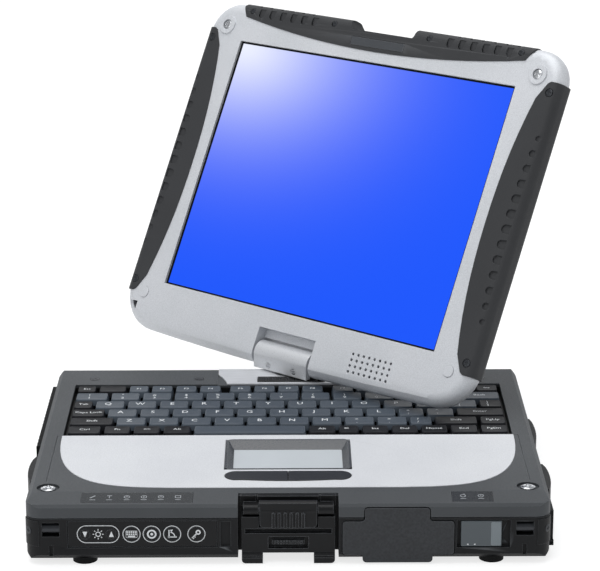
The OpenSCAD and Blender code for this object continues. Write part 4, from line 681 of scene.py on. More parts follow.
# ---------- pieces ----------
@dataclass
class Workshop:
    """Turns shells and CAD nodes into finished pieces that ride on the frame.

    Attributes:
        merge_mm: Points of a CAD node nearer than this become one.
        flat_deg: Faces that meet at less than this become one.
        edge_deg: Edges that turn more than this are rounded.
        smooth_deg: Edges of a new piece that turn less than this are shaded smooth.
        flat_weight: How much a large face's normal outweighs a small one's.
        made: The materials made so far, by name.
    """

    merge_mm: float = 0.002
    flat_deg: float = 0.4
    edge_deg: float = 32.0
    smooth_deg: float = 40.0
    flat_weight: int = 50
    made: dict[str, bpy.types.Material] = field(default_factory=dict)

    def material(self, finish: Solid | Display) -> bpy.types.Material:
        """The material of a finish, made when it is first asked for.

        Args:
            finish: The finish.

        Returns:
            Its only material.
        """
        if finish.name not in self.made:
            self.made[finish.name] = finish.build()
        return self.made[finish.name]

    def install(
        self,
        name: str,
        mesh: bpy.types.Mesh,
        finish: Solid | Display,
        body: str,
        nodes: Sequence[str] = (),
    ) -> None:
        """Gives a mesh its material and lets it ride as a piece at the origin.

        Args:
            name: The piece's name.
            mesh: Its mesh, in metres, in the row frame.
            finish: What it is made of.
            body: The CAD body that it rides on.
            nodes: CAD nodes that it stands for.
        """
        mesh.materials.clear()
        mesh.materials.append(self.material(finish))
        thing = bpy.data.objects.new(name, mesh)
        bpy.context.scene.collection.objects.link(thing)
        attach(thing, body)
        if nodes:
            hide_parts(*nodes)
        LOG.info("%s: %d faces on %s", name, len(mesh.polygons), body)

    def piece(
        self,
        name: str,
        shell: Shell,
        finish: Solid | Display,
        body: str,
        nodes: Sequence[str] = (),
    ) -> None:
        """Makes one piece from a shell.

        Args:
            name: The piece's name.
            shell: Its surface, in the row frame.
            finish: What it is made of.
            body: The CAD body that it rides on.
            nodes: CAD nodes that it stands for.
        """
        mesh = bpy.data.meshes.new(name)
        faces = [face for block in shell.faces for face in block.tolist()]
        mesh.from_pydata((shell.points * MM).tolist(), [], faces)
        if shell.uv is not None:
            layer = mesh.uv_layers.new(name="UVMap")
            corner = np.zeros(len(mesh.loops), np.int32)
            mesh.loops.foreach_get("vertex_index", corner)
            layer.data.foreach_set("uv", shell.uv[corner].astype(np.float32).ravel())
        work = bmesh.new()
        work.from_mesh(mesh)
        bmesh.ops.recalc_face_normals(work, faces=work.faces)
        work.to_mesh(mesh)
        work.free()
        mesh.shade_smooth()
        mesh.set_sharp_from_angle(angle=math.radians(self.smooth_deg))
        self.install(name, mesh, finish, body, nodes)

    def merged(self, node: str) -> bpy.types.Mesh:
        """A copy of a CAD node's mesh with its points merged and its flat faces joined.

        Args:
            node: The CAD node's name.

        Returns:
            The copy, with faces of more than four sides cut into triangles again, smooth but
            for the edges that are to be rounded.
        """
        work = bmesh.new()
        work.from_mesh(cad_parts[node].data)
        bmesh.ops.remove_doubles(work, verts=work.verts, dist=self.merge_mm * MM)
        bmesh.ops.dissolve_limit(
            work, angle_limit=math.radians(self.flat_deg), verts=work.verts, edges=work.edges
        )
        large = [face for face in work.faces if len(face.verts) > 4]
        bmesh.ops.triangulate(work, faces=large, ngon_method="EAR_CLIP")
        mesh = bpy.data.meshes.new(node + "_merged")
        work.to_mesh(mesh)
        work.free()
        mesh.shade_smooth()
        mesh.set_sharp_from_angle(angle=math.radians(self.edge_deg))
        return mesh

    def eased(
        self, node: str, finish: Solid, body: str, slot: str, width: float, steps: int = 2
    ) -> None:
        """Puts a copy of a CAD node with its sharp edges rounded in the node's place.

        Args:
            node: The CAD node's name.
            finish: What it is made of.
            body: The CAD body that it rides on.
            slot: The record's material slot; not used.
            width: How far the rounding reaches in from an edge.
            steps: Segments across the rounding.
        """
        rough = bpy.data.objects.new(node + "_rough", self.merged(node))
        bpy.context.scene.collection.objects.link(rough)
        bevel = rough.modifiers.new("edges", "BEVEL")
        bevel.width, bevel.segments = width * MM, steps
        bevel.limit_method, bevel.angle_limit = "ANGLE", math.radians(self.edge_deg)
        bevel.use_clamp_overlap, bevel.miter_outer = True, "MITER_ARC"
        # flat faces keep their own normals, so only the narrow rounding shades round
        even = rough.modifiers.new("even", "WEIGHTED_NORMAL")
        even.mode, even.weight, even.keep_sharp = "FACE_AREA", self.flat_weight, True
        done = bpy.data.meshes.new_from_object(
            rough.evaluated_get(bpy.context.evaluated_depsgraph_get())
        )
        bpy.data.objects.remove(rough)
        done.name = node + "_eased"
        self.install(node + "_eased", done, finish, body, [node])

    def dress(self, finish: Solid, *nodes: str) -> None:
        """Gives CAD nodes that show as they are their material.

        Args:
            finish: What they are made of.
            nodes: The nodes' names.
        """
        for node in nodes:
            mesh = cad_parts[node].data
            mesh.materials.clear()
            mesh.materials.append(self.material(finish))
            LOG.info("%s: dressed in %s", node, finish.name)


@dataclass
class Legends:
    """Words in the plain built-in typeface, as thin plates.

    Attributes:
        capital: Height of a capital in a word of size 1.
        depth: Half the thickness of such a word.
        made: Points and faces of the words made so far.
    """

    capital: float = 0.69
    depth: float = 0.01
    made: dict[str, tuple[Array, list[Array]]] = field(default_factory=dict)

    def trace(self, text: str) -> tuple[Array, list[Array]]:
        """Makes a word of size 1, centred on the origin.

        Args:
            text: The word.

        Returns:
            Its points and its faces.
        """
        curve = bpy.data.curves.new("legend", "FONT")
        curve.body, curve.size = text, 1.0
        curve.align_x, curve.align_y = "CENTER", "CENTER"
        curve.resolution_u, curve.extrude = 2, self.depth
        thing = bpy.data.objects.new("legend", curve)
        bpy.context.scene.collection.objects.link(thing)
        mesh = bpy.data.meshes.new_from_object(
            thing.evaluated_get(bpy.context.evaluated_depsgraph_get())
        )
        points = np.zeros(len(mesh.vertices) * 3)
        mesh.vertices.foreach_get("co", points)
        faces = [np.array([list(p.vertices)]) for p in mesh.polygons]
        bpy.data.objects.remove(thing)
        bpy.data.curves.remove(curve)
        bpy.data.meshes.remove(mesh)
        return points.reshape(-1, 3), faces

    def word(self, text: str, height: float) -> Shell:
        """A word with capitals of a given height.

        Args:
            text: The word.
            height: Height of its capitals.

        Returns:
            A thin plate, centred on the origin.
        """
        if text not in self.made:
            self.made[text] = self.trace(text)
        points, faces = self.made[text]
        return Shell(points * np.array([height / self.capital, height / self.capital, 1.0]), faces)


@dataclass(frozen=True)
class PrintPlace:
    """Where a legend goes on a key.

    Attributes:
        right: How far right of the middle of the key's top.
        up: How far towards the key's back.
        height: Height of its capitals.
    """

    right: float
    up: float
    height: float


@dataclass
class Keyboard:
    """Six rows of keycaps in their well, with printed legends.

    Attributes:
        well_half: Half the well's width.
        well_back: The well's rear wall.
        margin: Room at each end of a row.
        row_margin: Room behind the first row.
        function_pitch: Depth of the first row.
        row_pitch: Depth of each other row.
        gap: Room between two keys.
        top: Height of the caps' tops.
        height: Height of a cap.
        inset: How far a cap's sides lean in.
        lean_y: Share of that by which its front and back lean in.
        lean_back: Share of that by which its top sits further back.
        dish: Depth of the dish in its top.
        corner: Radius of its corners.
        profile: Steps up a cap: share of its height, share of the inset, share of its top's size.
        rim_share: Share of the top's size under which its height follows the dish.
        print_t: Height of the print over the cap.
        letter: Place of a letter that is alone on its key.
        upper: Place of the upper sign of a pair.
        lower: Place of the lower sign of a pair.
        small_word: Place of a word in the first row.
        word: Place of a word in the other rows.
        word_room: Room that a word leaves at its ends.
        rows: Widths of the keys, which fill the row once scaled; a gap has a minus sign.
        legends: What is printed on each key; _ is a space or nothing, | parts a pair.
        row_nodes: The rows' CAD nodes.
        dark_keys: Numbers of each row's black keys.
        alone: Keys that move alone, by row and number.
        typeface: The words made so far.
    """

    well_half: float = 124.0
    well_back: float = 79.0
    margin: float = 1.0
    row_margin: float = 0.8
    function_pitch: float = 12.6
    row_pitch: float = 14.2
    gap: float = 1.0
    top: float = 34.7
    height: float = 3.5
    inset: float = 0.9
    lean_y: float = 1.15
    lean_back: float = 0.55
    dish: float = 0.28
    corner: float = 1.3
    profile: tuple = (
        (0.0, 0.0, 1.0),
        (0.80, 0.72, 1.0),
        (0.93, 0.88, 1.0),
        (0.985, 1.0, 1.0),
        (1.0, 1.0, 0.965),
        (0.99, 1.0, 0.9),
        (0.97, 1.0, 0.6),
        (0.95, 1.0, 0.25),
    )
    rim_share: float = 0.93
    print_t: float = 0.03
    letter: PrintPlace = PrintPlace(-1.2, 1.5, 3.6)
    upper: PrintPlace = PrintPlace(-1.6, 2.5, 2.5)
    lower: PrintPlace = PrintPlace(-1.6, -2.0, 2.9)
    small_word: PrintPlace = PrintPlace(0.0, 0.6, 2.2)
    word: PrintPlace = PrintPlace(0.0, 1.2, 2.5)
    word_room: float = 1.0
    rows: tuple = (
        (12.5, 17.5, 13, 14, 14, 14, -3.5, 14, 14, 14, 14, -3.5, 14, 14, 14, 14, 14, 14, 14),
        (20.2, *[18.3] * 11, 24.5),
        (12.3, *[18.3] * 12, 14.1),
        (20.2, *[18.3] * 9, 16, 17, 28.1),
        (26, *[18.3] * 9, 14, 25.5, 15.8),
        (20, 16.4, 16.6, 17, 63.8, 16.6, 13, 16.4, 16.4, 16.4, 16.8, 16.6),
    )
    legends: tuple = (
        "Esc _ F1 F2 F3 F4 F5 F6 F7 F8 F9 F10 F11 F12 Num Prt Ins".split(),
        '!|1 "|2 #|3 $|4 %|5 &|6 \'|7 (|8 )|9 |0 =|- ~|^ Back'.split(),
        "Tab Q W E R T Y U I O P `|@ {|[ }|]".split(),
        "Caps_Lock A S D F G H J K L +|; *|: Enter".split(),
        "Shift Z X C V B N M <|, >|. ?|/ Shift PgUp".split(),
        "Ctrl Fn <> Alt _ Alt = Ins Del Home End PgDn".split(),
    )
    row_nodes: tuple = (
        "function_keys",
        "number_keys",
        "tab_row_keys",
        "home_row_keys",
        "shift_row_keys",
        "bottom_row_keys",
    )
    dark_keys: tuple = (
        (0, 1, 14, 15, 16),
        (),
        (0, 13),
        (0, 12),
        (0, 11, 12),
        (0, 1, 2, 3, 5, 6, 7, 8, 9, 10, 11),
    )
    alone: dict = field(default_factory=lambda: {(5, 4): "space_bar", (3, 12): "enter_key"})
    typeface: Legends = field(default_factory=Legends)

    def spans(self, row: int) -> tuple[Array, Array]:
        """Centres and widths of a row's keys, scaled so that the row fills the well.

        Args:
            row: Number of the row, from the back.

        Returns:
            The centres along X and the widths.
        """
        widths = np.array(self.rows[row], float)
        scale = 2 * (self.well_half - self.margin) / np.abs(widths).sum()
        edges = np.concatenate([[0], np.cumsum(np.abs(widths))]) * scale
        centres = edges[:-1] + np.abs(widths) * scale / 2 - (self.well_half - self.margin)
        real = widths > 0
        return centres[real], widths[real] * scale

    def row_place(self, row: int) -> tuple[float, float]:
        """Where a row lies.

        Args:
            row: Number of the row.

        Returns:
            Its centre along Y, and its keys' depth.
        """
        if row == 0:
            middle, depth = self.function_pitch / 2, self.function_pitch
        else:
            middle = self.function_pitch + (row - 0.5) * self.row_pitch
            depth = self.row_pitch
        return self.well_back - self.row_margin - middle, depth - self.gap

    def caps(self, row: int, chosen: Array) -> Shell:
        """Keycaps of a row.

        A keycap is a stack of rounded rectangles. Its sides lean in from the foot to the rim,
        and over the top the rectangles shrink to nothing while the height follows
        top - dish (1 - s squared), where s is the share of the rim's size.

        Args:
            row: Number of the row.
            chosen: Numbers of the keys.

        Returns:
            Those keys' caps.
        """
        centres, widths = (a[chosen] for a in self.spans(row))
        y, depth = self.row_place(row)
        rise, lean, share = np.array(self.profile).T
        half_x = (widths[:, None] - self.gap) / 2 - self.inset * lean
        half_y = depth / 2 - self.inset * self.lean_y * lean
        size_x, size_y = half_x * share, np.broadcast_to(half_y * share, half_x.shape)
        radius = np.minimum(self.corner * share, np.minimum(size_x, size_y) * 0.95)
        flat = rounded_box(size_x, size_y, radius)
        shift = self.inset * self.lean_back * lean
        side = self.top - self.height + rise * self.height
        dished = self.top - self.dish * (1 - share**2)
        points = np.empty((*flat.shape[:3], 3))
        points[..., 0] = flat[..., 0] + centres[:, None, None]
        points[..., 1] = flat[..., 1] + y + shift[None, :, None]
        points[..., 2] = np.where(share < self.rim_share, dished, side)[None, :, None]
        return lofts(points)

    def surface(self, row: int, index: int, x: Array, y: Array) -> Array:
        """Height of a keycap's top: top - dish (1 - s squared) at the share s of its rim.

        Args:
            row: Number of the row.
            index: Number of the key.
            x: Places along X.
            y: Places along Y.

        Returns:
            The height at each place.
        """
        centres, widths = self.spans(row)
        middle, depth = self.row_place(row)
        half_x = (widths[index] - self.gap) / 2 - self.inset
        half_y = depth / 2 - self.inset * self.lean_y
        off_y = y - middle - self.inset * self.lean_back
        share = np.maximum(np.abs(x - centres[index]) / half_x, np.abs(off_y) / half_y)
        return self.top - self.dish * (1 - np.minimum(share, 1) ** 2)

    def marks(self, row: int, text: str) -> list[tuple[str, PrintPlace]]:
        """What a legend is made of: a letter, a word, or a pair of signs.

        Args:
            row: Number of the key's row.
            text: The legend as it is written in legends.

        Returns:
            Each sign or word with its place.
        """
        if "|" in text and len(text) > 1:
            upper, lower = text.split("|")
            return [(sign, at) for sign, at in ((upper, self.upper), (lower, self.lower)) if sign]
        if len(text) == 1:
            return [(text, self.letter)] if text != "_" else []
        return [(text.replace("_", " "), self.word if row else self.small_word)]

    def legend(self, row: int, index: int) -> list[Shell]:
        """The print on one key, laid on its dish.

        Args:
            row: Number of the row.
            index: Number of the key.

        Returns:
            A shell for each sign or word.
        """
        centre, width = (a[index] for a in self.spans(row))
        middle = self.row_place(row)[0] + self.inset * self.lean_back
        room = width - self.gap - 2 * self.inset - self.word_room
        shells = []
        for word, at in self.marks(row, self.legends[row][index]):
            shell = self.typeface.word(word, at.height)
            squeeze = min(1.0, room / np.ptp(shell.points[:, 0]))
            x = shell.points[:, 0] * squeeze + centre + at.right
            y = shell.points[:, 1] + middle + at.up
            ink = np.where(shell.points[:, 2] > 0, self.print_t, -self.print_t)
            z = self.surface(row, index, x, y) + ink
            shells.append(Shell(np.stack([x, y, z], -1), shell.faces))
        return shells

    def build(self, shop: Workshop) -> None:
        """Makes every row's caps and prints; the space bar and the enter key move alone.

        Args:
            shop: The workshop.
        """
        for row, node in enumerate(self.row_nodes):
            keys = np.arange(len(self.spans(row)[0]))
            plain = np.setdiff1d(keys, [i for (r, i) in self.alone if r == row])
            dark = np.intersect1d(plain, self.dark_keys[row])
            light = np.setdiff1d(plain, dark)
            grey_rules = len(light) >= len(dark)
            for shade, group, finish, rules in (
                ("grey", light, KEY_GREY, grey_rules),
                ("black", dark, KEY_BLACK, not grey_rules),
            ):
                if len(group):
                    caps, stands = self.caps(row, group), [node] if rules else []
                    shop.piece(f"{node}_{shade}", caps, finish, node, stands)
            prints = [s for i in plain for s in self.legend(row, int(i))]
            shop.piece(f"{node}_print", joined(prints), PRINT, node)
        for (row, index), node in self.alone.items():
            black = index in self.dark_keys[row]
            shade, finish = ("black", KEY_BLACK) if black else ("grey", KEY_GREY)
            caps = self.caps(row, np.array([index]))
            shop.piece(f"{node}_cap", caps, finish, node, [node])
            prints = self.legend(row, index)
            if prints:
                shop.piece(f"{node}_print", joined(prints), PRINT, node)


@dataclass
class Screen:
    """The glass of the display, with its lit picture.

    Attributes:
        place: Where the lid stands.
        half_u: Half the glass's width.
        half_v: Half its height.
        corner: Radius of its corners.
        back: Its back, from the middle of the lid's thickness.
        front: Its front.
    """

    place: LidPlace = field(default_factory=LidPlace)
    half_u: float = 107.6
    half_v: float = 81.2
    corner: float = 1.5
    back: float = 4.0
    front: float = 5.38

    def build(self, shop: Workshop) -> None:
        """Makes a rounded plate whose UV map runs from 0 to 1 over the glass.

        Args:
            shop: The workshop.
        """
        outline = rounded_box(self.half_u, self.half_v, self.corner)
        shell = plate(outline, 0.0, self.front - self.back)
        shell.uv = shell.points[:, :2] / np.array([self.half_u, self.half_v]) / 2 + 0.5
        placed = self.place.plane(0.0, 0.0, self.back).place(shell)
        shop.piece("display_glass", placed, SCREEN, "lid", ["touch_glass"])


@dataclass(frozen=True)
class ScrewHead:
    """A round screw head with a cross recess.

    Attributes:
        radius: Radius of the head.
        rise: Height of its dome above its rim.
        cross: Depth of the recess.
        rim: Height of its rim above the face it lies on.
        sunk: How far its wall goes into that face.
        arm: Half the width of the recess's arms, as a share of the radius.
        end: Where the arms end, as a share of the radius.
        fade: Over what share of the radius they end.
        soft: Width of the recess's walls, as a share of an arm's half width.
        shares: Rings from the rim to the middle, as shares of the radius.
        around: Points in a ring.
    """

    radius: float
    rise: float
    cross: float
    rim: float = 0.2
    sunk: float = 0.4
    arm: float = 0.16
    end: float = 0.66
    fade: float = 0.12
    soft: float = 0.4
    shares: tuple = (1.0, 1.0, 0.97, 0.9, 0.78, 0.66, 0.56, 0.46, 0.34, 0.22, 0.1)
    around: int = 32

    def shell(self) -> Shell:
        """The head, as heights over a disc.

        At the share s of the radius the dome is rise (1 - s squared) above the rim, and the
        recess takes away up to `cross` where |x| or |y| is less than an arm's half width and
        s is less than `end`, with soft walls.

        Returns:
            The head, with its rim's plane at height 0.
        """
        share = np.array(self.shares)[:, None]
        angle = np.arange(self.around) * 2 * math.pi / self.around
        x, y = share * self.radius * np.cos(angle), share * self.radius * np.sin(angle)
        arm = self.arm * self.radius
        off = np.minimum(np.abs(x), np.abs(y))
        depth = np.clip((arm - off) / (self.soft * arm) + 0.5, 0, 1)
        depth = depth * np.clip((self.end - share) / self.fade, 0, 1)
        z = self.rise * (1 - share**2) + 0 * x - self.cross * depth + self.rim
        z[0] = -self.sunk
        return lofts(np.stack([x, y, z], -1))


@dataclass
class Screws:
    """Every screw that shows, but for the hinge's.

    Attributes:
        place: Where the lid stands.
        lid_front: The bezel's front, from the middle of the lid's thickness.
        bumper_front: The bumpers' front, likewise.
        lid_corners: Screws in the lid's upper corners, from the screen's centre.
        side_bumpers: Screws in the side bumpers.
        top_bumper: Screws in the top bumper.
        deck_top: Height of the deck.
        deck_corners: Screws in the deck's front corners.
        cap_top: Height of the deck's rear edge.
        caps: Small caps along the rear edge.
        under: Height of the underside.
        under_screws: Screws in the underside.
        guard_turn: How far the corner plates' screws turn from the front to the side.
        guard_centre: Centre of the right front corner's round.
        guard_radius: Radius of that round.
        lid_head: What the screws in the lid's corners are like, and so on.
        side_head: Those of the side bumpers.
        top_head: Those of the top bumper.
        deck_head: Those of the deck's corners.
        cap_head: The small caps.
        under_head: Those of the underside.
        guard_head: Those of the corner plates.
    """

    place: LidPlace = field(default_factory=LidPlace)
    lid_front: float = 7.2
    bumper_front: float = 7.15
    lid_corners: tuple = ((-120.0, 88.0), (118.3, 88.0))
    side_bumpers: tuple = ((-129.5, 78.5), (-129.5, -81.0), (129.5, 78.5), (129.5, -81.0))
    top_bumper: tuple = ((-36.5, 98.9), (-103.0, 98.9), (36.5, 98.9), (103.0, 98.9))
    deck_top: float = 34.5
    deck_corners: tuple = ((-125.0, -87.5), (125.0, -87.5))
    cap_top: float = 34.7
    caps: tuple = ((-113.4, 89.0), (-52.0, 89.0), (52.0, 89.0), (113.4, 89.0))
    under: float = 3.6
    under_screws: tuple = (
        (-125.0, -98.0),
        (125.0, -98.0),
        (-125.0, 98.0),
        (125.0, 98.0),
        (0.0, 84.0),
        (-62.0, -25.0),
        (50.0, -25.0),
    )
    guard_turn: float = 50.0
    guard_centre: tuple[float, float, float] = (127.5, -100.0, 18.7)
    guard_radius: float = 8.25
    lid_head: ScrewHead = ScrewHead(2.8, 0.5, 0.5)
    side_head: ScrewHead = ScrewHead(2.2, 0.3, 0.4)
    top_head: ScrewHead = ScrewHead(1.7, 0.25, 0.4)
    deck_head: ScrewHead = ScrewHead(3.9, 0.8, 0.7)
    cap_head: ScrewHead = ScrewHead(2.7, 0.3, 0.25)
    under_head: ScrewHead = ScrewHead(2.5, 0.3, 0.35)
    guard_head: ScrewHead = ScrewHead(2.0, 0.15, 0.3)

    def on_lid(self, head: ScrewHead, places: tuple, front: float) -> list[Shell]:
        """Screws on the lid's front.

        Args:
            head: What each is like.
            places: Their places, from the screen's centre.
            front: How far in front of the middle of the lid's thickness they lie.

        Returns:
            A shell for each.
        """
        return [self.place.plane(u, v, front).place(head.shell()) for u, v in places]

    def on_base(self, head: ScrewHead, places: tuple, height: float, up: int = 1) -> list[Shell]:
        """Screws on a level face of the base.

        Args:
            head: What each is like.
            places: Their places along X and Y.
            height: Height of the face.
            up: 1 where it faces up, -1 where it faces down.

        Returns:
            A shell for each.
        """
        turn = ((1.0, 0.0, 0.0), (0.0, float(up), 0.0))
        return [Plane((x, y, height), *turn).place(head.shell()) for x, y in places]

    def on_guards(self, head: ScrewHead) -> list[Shell]:
        """Screws on the rounded front corners, turned from the front to the side.

        Args:
            head: What each is like.

        Returns:
            A shell for each.
        """
        turn = math.radians(self.guard_turn)
        heads = []
        for side in (-1, 1):
            out = np.array([side * math.sin(turn), -math.cos(turn), 0.0])
            across = (math.cos(turn), side * math.sin(turn), 0.0)
            middle = np.array(self.guard_centre) * (side, 1, 1) + self.guard_radius * out
            heads.append(Plane(tuple(middle), across, (0.0, 0.0, 1.0)).place(head.shell()))
        return heads

    def build(self, shop: Workshop) -> None:
        """Makes the screws of the lid, its bumpers, the deck, the underside and the corners.

        Args:
            shop: The workshop.
        """
        lid = self.on_lid(self.lid_head, self.lid_corners, self.lid_front)
        bumpers = [
            *self.on_lid(self.side_head, self.side_bumpers, self.bumper_front),
            *self.on_lid(self.top_head, self.top_bumper, self.bumper_front),
        ]
        deck = self.on_base(self.deck_head, self.deck_corners, self.deck_top)
        caps = self.on_base(self.cap_head, self.caps, self.cap_top)
        under = self.on_base(self.under_head, self.under_screws, self.under, -1)
        guards = self.on_guards(self.guard_head)
        for name, heads, finish, body, nodes in (
            ("lid_screw_heads", lid, STEEL, "lid", ["lid_screws"]),
            ("bumper_screw_heads", bumpers, GUNMETAL, "lid", []),
            ("deck_corner_screws", deck, STEEL, "base", ["case_screws"]),
            ("deck_rear_caps", caps, GUNMETAL, "base", []),
            ("underside_screws", under, GUNMETAL, "base", []),
            ("corner_plate_screws", guards, GUNMETAL, "base", []),
        ):
            shop.piece(name, joined(heads), finish, body, nodes)


@dataclass
class Hinge:
    """Turret, barrel and their fasteners.

    Attributes:
        swivel_deg: How far the lid is turned about the post.
        skirt: A point of the post's axis at the height of the screws.
        reach: The barrel's skirt, in front of that axis.
        screw_us: The two screws, along the barrel.
        head: What they are like.
        barrel_round: How far the rounding of the barrel's edges reaches in.
        turret_round: How far that of the turret's does.
    """

    swivel_deg: float = -41.4
    skirt: tuple[float, float, float] = (0.0, 100.0, 39.4)
    reach: float = 6.9
    screw_us: tuple[float, float] = (-9.0, 10.5)
    head: ScrewHead = ScrewHead(1.7, 0.3, 0.3)
    barrel_round: float = 0.5
    turret_round: float = 0.35

    def build(self, shop: Workshop) -> None:
        """Rounds the castings and sets two screws into the barrel's skirt.

        Args:
            shop: The workshop.
        """
        shop.eased("hinge_barrel", CAST, "swivel", "silver_paint", self.barrel_round, 3)
        shop.eased("turret", BLACK, "swivel", "black_plastic", self.turret_round)
        turn = math.radians(self.swivel_deg)
        across = (math.cos(turn), math.sin(turn), 0.0)
        front = np.array([math.sin(turn), -math.cos(turn), 0.0])
        heads = []
        for u in self.screw_us:
            origin = np.array(self.skirt) + u * np.array(across) + self.reach * front
            place = Plane(tuple(origin), across, (0.0, 0.0, 1.0))
            heads.append(place.place(self.head.shell()))
        screws = joined(heads)
        shop.piece("barrel_screw_heads", screws, STEEL, "swivel", ["barrel_screws"])


@dataclass
class FrontPrint:
    """Pad-printed signs on the front buttons and in the lamp windows.

    The signs are drawings in millimetres, (x, y) from the middle of their button or lamp.

    Attributes:
        panel_y: The button panel's front.
        button_y: The buttons' front.
        button_z: Height of the buttons' middle.
        ink: Half the thickness of the print.
        pill_x: Middle of the outline round the two brightness buttons.
        pill_step: How far each of them is from it.
        pill_half: Half the outline's width and height.
        button_xs: Middles of the four round buttons.
        ring_r: Radius of the circles round them.
        line: Width of these outlines.
        sun_r: Radius of the sun between the brightness buttons.
        ray: Inner and outer ends of its rays.
        lamp_xs: Middles of the lamps' signs, six on the left and two on the right.
        slope_foot: Front edge of the deck's slope, along Y and Z.
        slope_deg: How steep that slope is.
        slope_way: How far up the slope the signs are.
        slope_lift: How far the windows stand above the slope.
    """

    panel_y: float = -107.6
    button_y: float = -107.75
    button_z: float = 17.0
    ink: float = 0.05
    pill_x: float = -97.95
    pill_step: float = 6.8
    pill_half: tuple[float, float] = (11.0, 4.9)
    button_xs: tuple = (-80.75, -70.35, -59.85, -47.35)
    ring_r: float = 4.65
    line: float = 0.42
    sun_r: float = 1.45
    ray: tuple[float, float] = (2.0, 2.8)
    lamp_xs: tuple = (-101.0, -92.3, -83.3, -74.5, -65.7, -56.9, 90.3, 99.5)
    slope_foot: tuple[float, float] = (-106.6, 33.2)
    slope_deg: float = math.degrees(math.atan(1.8 / 13.6))
    slope_way: float = 7.4
    slope_lift: float = 0.06

    def on_front(self, x: float, y: float) -> Plane:
        """A plane on the front face through x, with its drawing upright."""
        return Plane((x, y, self.button_z), (1.0, 0.0, 0.0), (0.0, 0.0, 1.0))

    def band(self, outer: Array, inner: Array) -> Shell:
        """A printed line between two outlines."""
        return ring_plate(outer, inner, -self.ink, self.ink)

    def flat(self, outline: Any) -> Shell:
        """A printed patch with this outline."""
        return plate(np.asarray(outline, float), -self.ink, self.ink)

    def stroke(self, start: tuple, end: tuple, width: float) -> Shell:
        """A printed straight line."""
        return self.flat(bar(start, end, width))

    def ring(self, radius: float, width: float, at: tuple[float, float] = (0.0, 0.0)) -> Shell:
        """A printed circle.

        Args:
            radius: Its outer radius.
            width: Width of its line.
            at: Its centre.

        Returns:
            The circle.
        """
        centre = np.array(at)
        return self.band(circle(radius, 40) + centre, circle(radius - width, 40) + centre)

    def panel_marks(self) -> Shell:
        """The outlines round the buttons and the sun between the brightness buttons.

        Returns:
            All of them, in their places.
        """
        marks = [
            self.on_front(x, self.panel_y).place(self.ring(self.ring_r, self.line))
            for x in self.button_xs
        ]
        half_x, half_y = self.pill_half
        outer = rounded_box(half_x, half_y, half_y, 12)
        inner = rounded_box(half_x - self.line, half_y - self.line, half_y - self.line, 12)
        near, far = self.ray
        sun = [self.band(outer, inner), self.ring(self.sun_r, 0.5)]
        sun += [self.stroke(tuple(near * way), tuple(far * way), 0.5) for way in circle(1.0, 8)]
        marks += [self.on_front(self.pill_x, self.panel_y).place(s) for s in sun]
        return joined(marks)

    def keyboard_sign(self) -> list[Shell]:
        """A keyboard: a frame, two rows of five keys and a bar.

        Returns:
            Its parts.
        """
        keys = [
            self.flat(rounded_box(0.42, 0.42, 0.1, 2) + np.array([x, y]))
            for y in (1.15, 0.0)
            for x in np.linspace(-2.2, 2.2, 5)
        ]
        space = self.flat(rounded_box(1.9, 0.4, 0.1, 2) + np.array([0, -1.15]))
        edge = self.band(rounded_box(3.0, 1.95, 0.5), rounded_box(2.75, 1.7, 0.3))
        return [edge, *keys, space]

    def rotate_sign(self) -> list[Shell]:
        """A corner of a page with an arrow that sweeps from one side to the other.

        Returns:
            Its parts.
        """
        angle = np.radians(np.linspace(5, 80, 9))
        outer = np.stack([np.cos(angle), np.sin(angle)], -1) * 3.1
        sweep = np.concatenate([outer, (outer * 0.82)[::-1]]) + np.array([-1.4, -1.7])
        return [
            self.stroke((-1.6, -2.2), (-1.6, 2.3), 0.6),
            self.stroke((-2.2, -1.6), (2.4, -1.6), 0.6),
            self.flat(sweep),
            self.flat([[-1.2, 2.3], [-0.2, 1.2], [0.5, 2.6]]),
        ]

    def key_sign(self) -> list[Shell]:
        """A key: its bow, its shank and two teeth.

        Returns:
            Its parts.
        """
        return [
            self.ring(1.35, 0.75, (0.9, 0.95)),
            self.stroke((0.1, 0.15), (-2.3, -2.3), 0.75),
            self.stroke((-1.2, -1.2), (-0.5, -1.9), 0.6),
            self.stroke((-2.0, -2.0), (-1.3, -2.7), 0.6),
        ]

    def signs(self) -> dict[str, tuple[float, list[Shell]]]:
        """What is printed on each button.

        Returns:
            The button's body name to its middle along X and its sign's parts.
        """
        arrow = np.array([[-1.3, -1.5], [1.3, -1.5], [0.0, 1.7]])
        down, up = self.flat(arrow[::-1] * [1, -1]), self.flat(arrow)
        target = [self.ring(2.5, 0.9), self.flat(circle(0.75, 16))]
        return {
            "brightness_down_button": (self.pill_x - self.pill_step, [down]),
            "brightness_up_button": (self.pill_x + self.pill_step, [up]),
            "keyboard_button": (self.button_xs[0], self.keyboard_sign()),
            "input_button": (self.button_xs[1], target),
            "rotate_button": (self.button_xs[2], self.rotate_sign()),
            "security_button": (self.button_xs[3], self.key_sign()),
        }

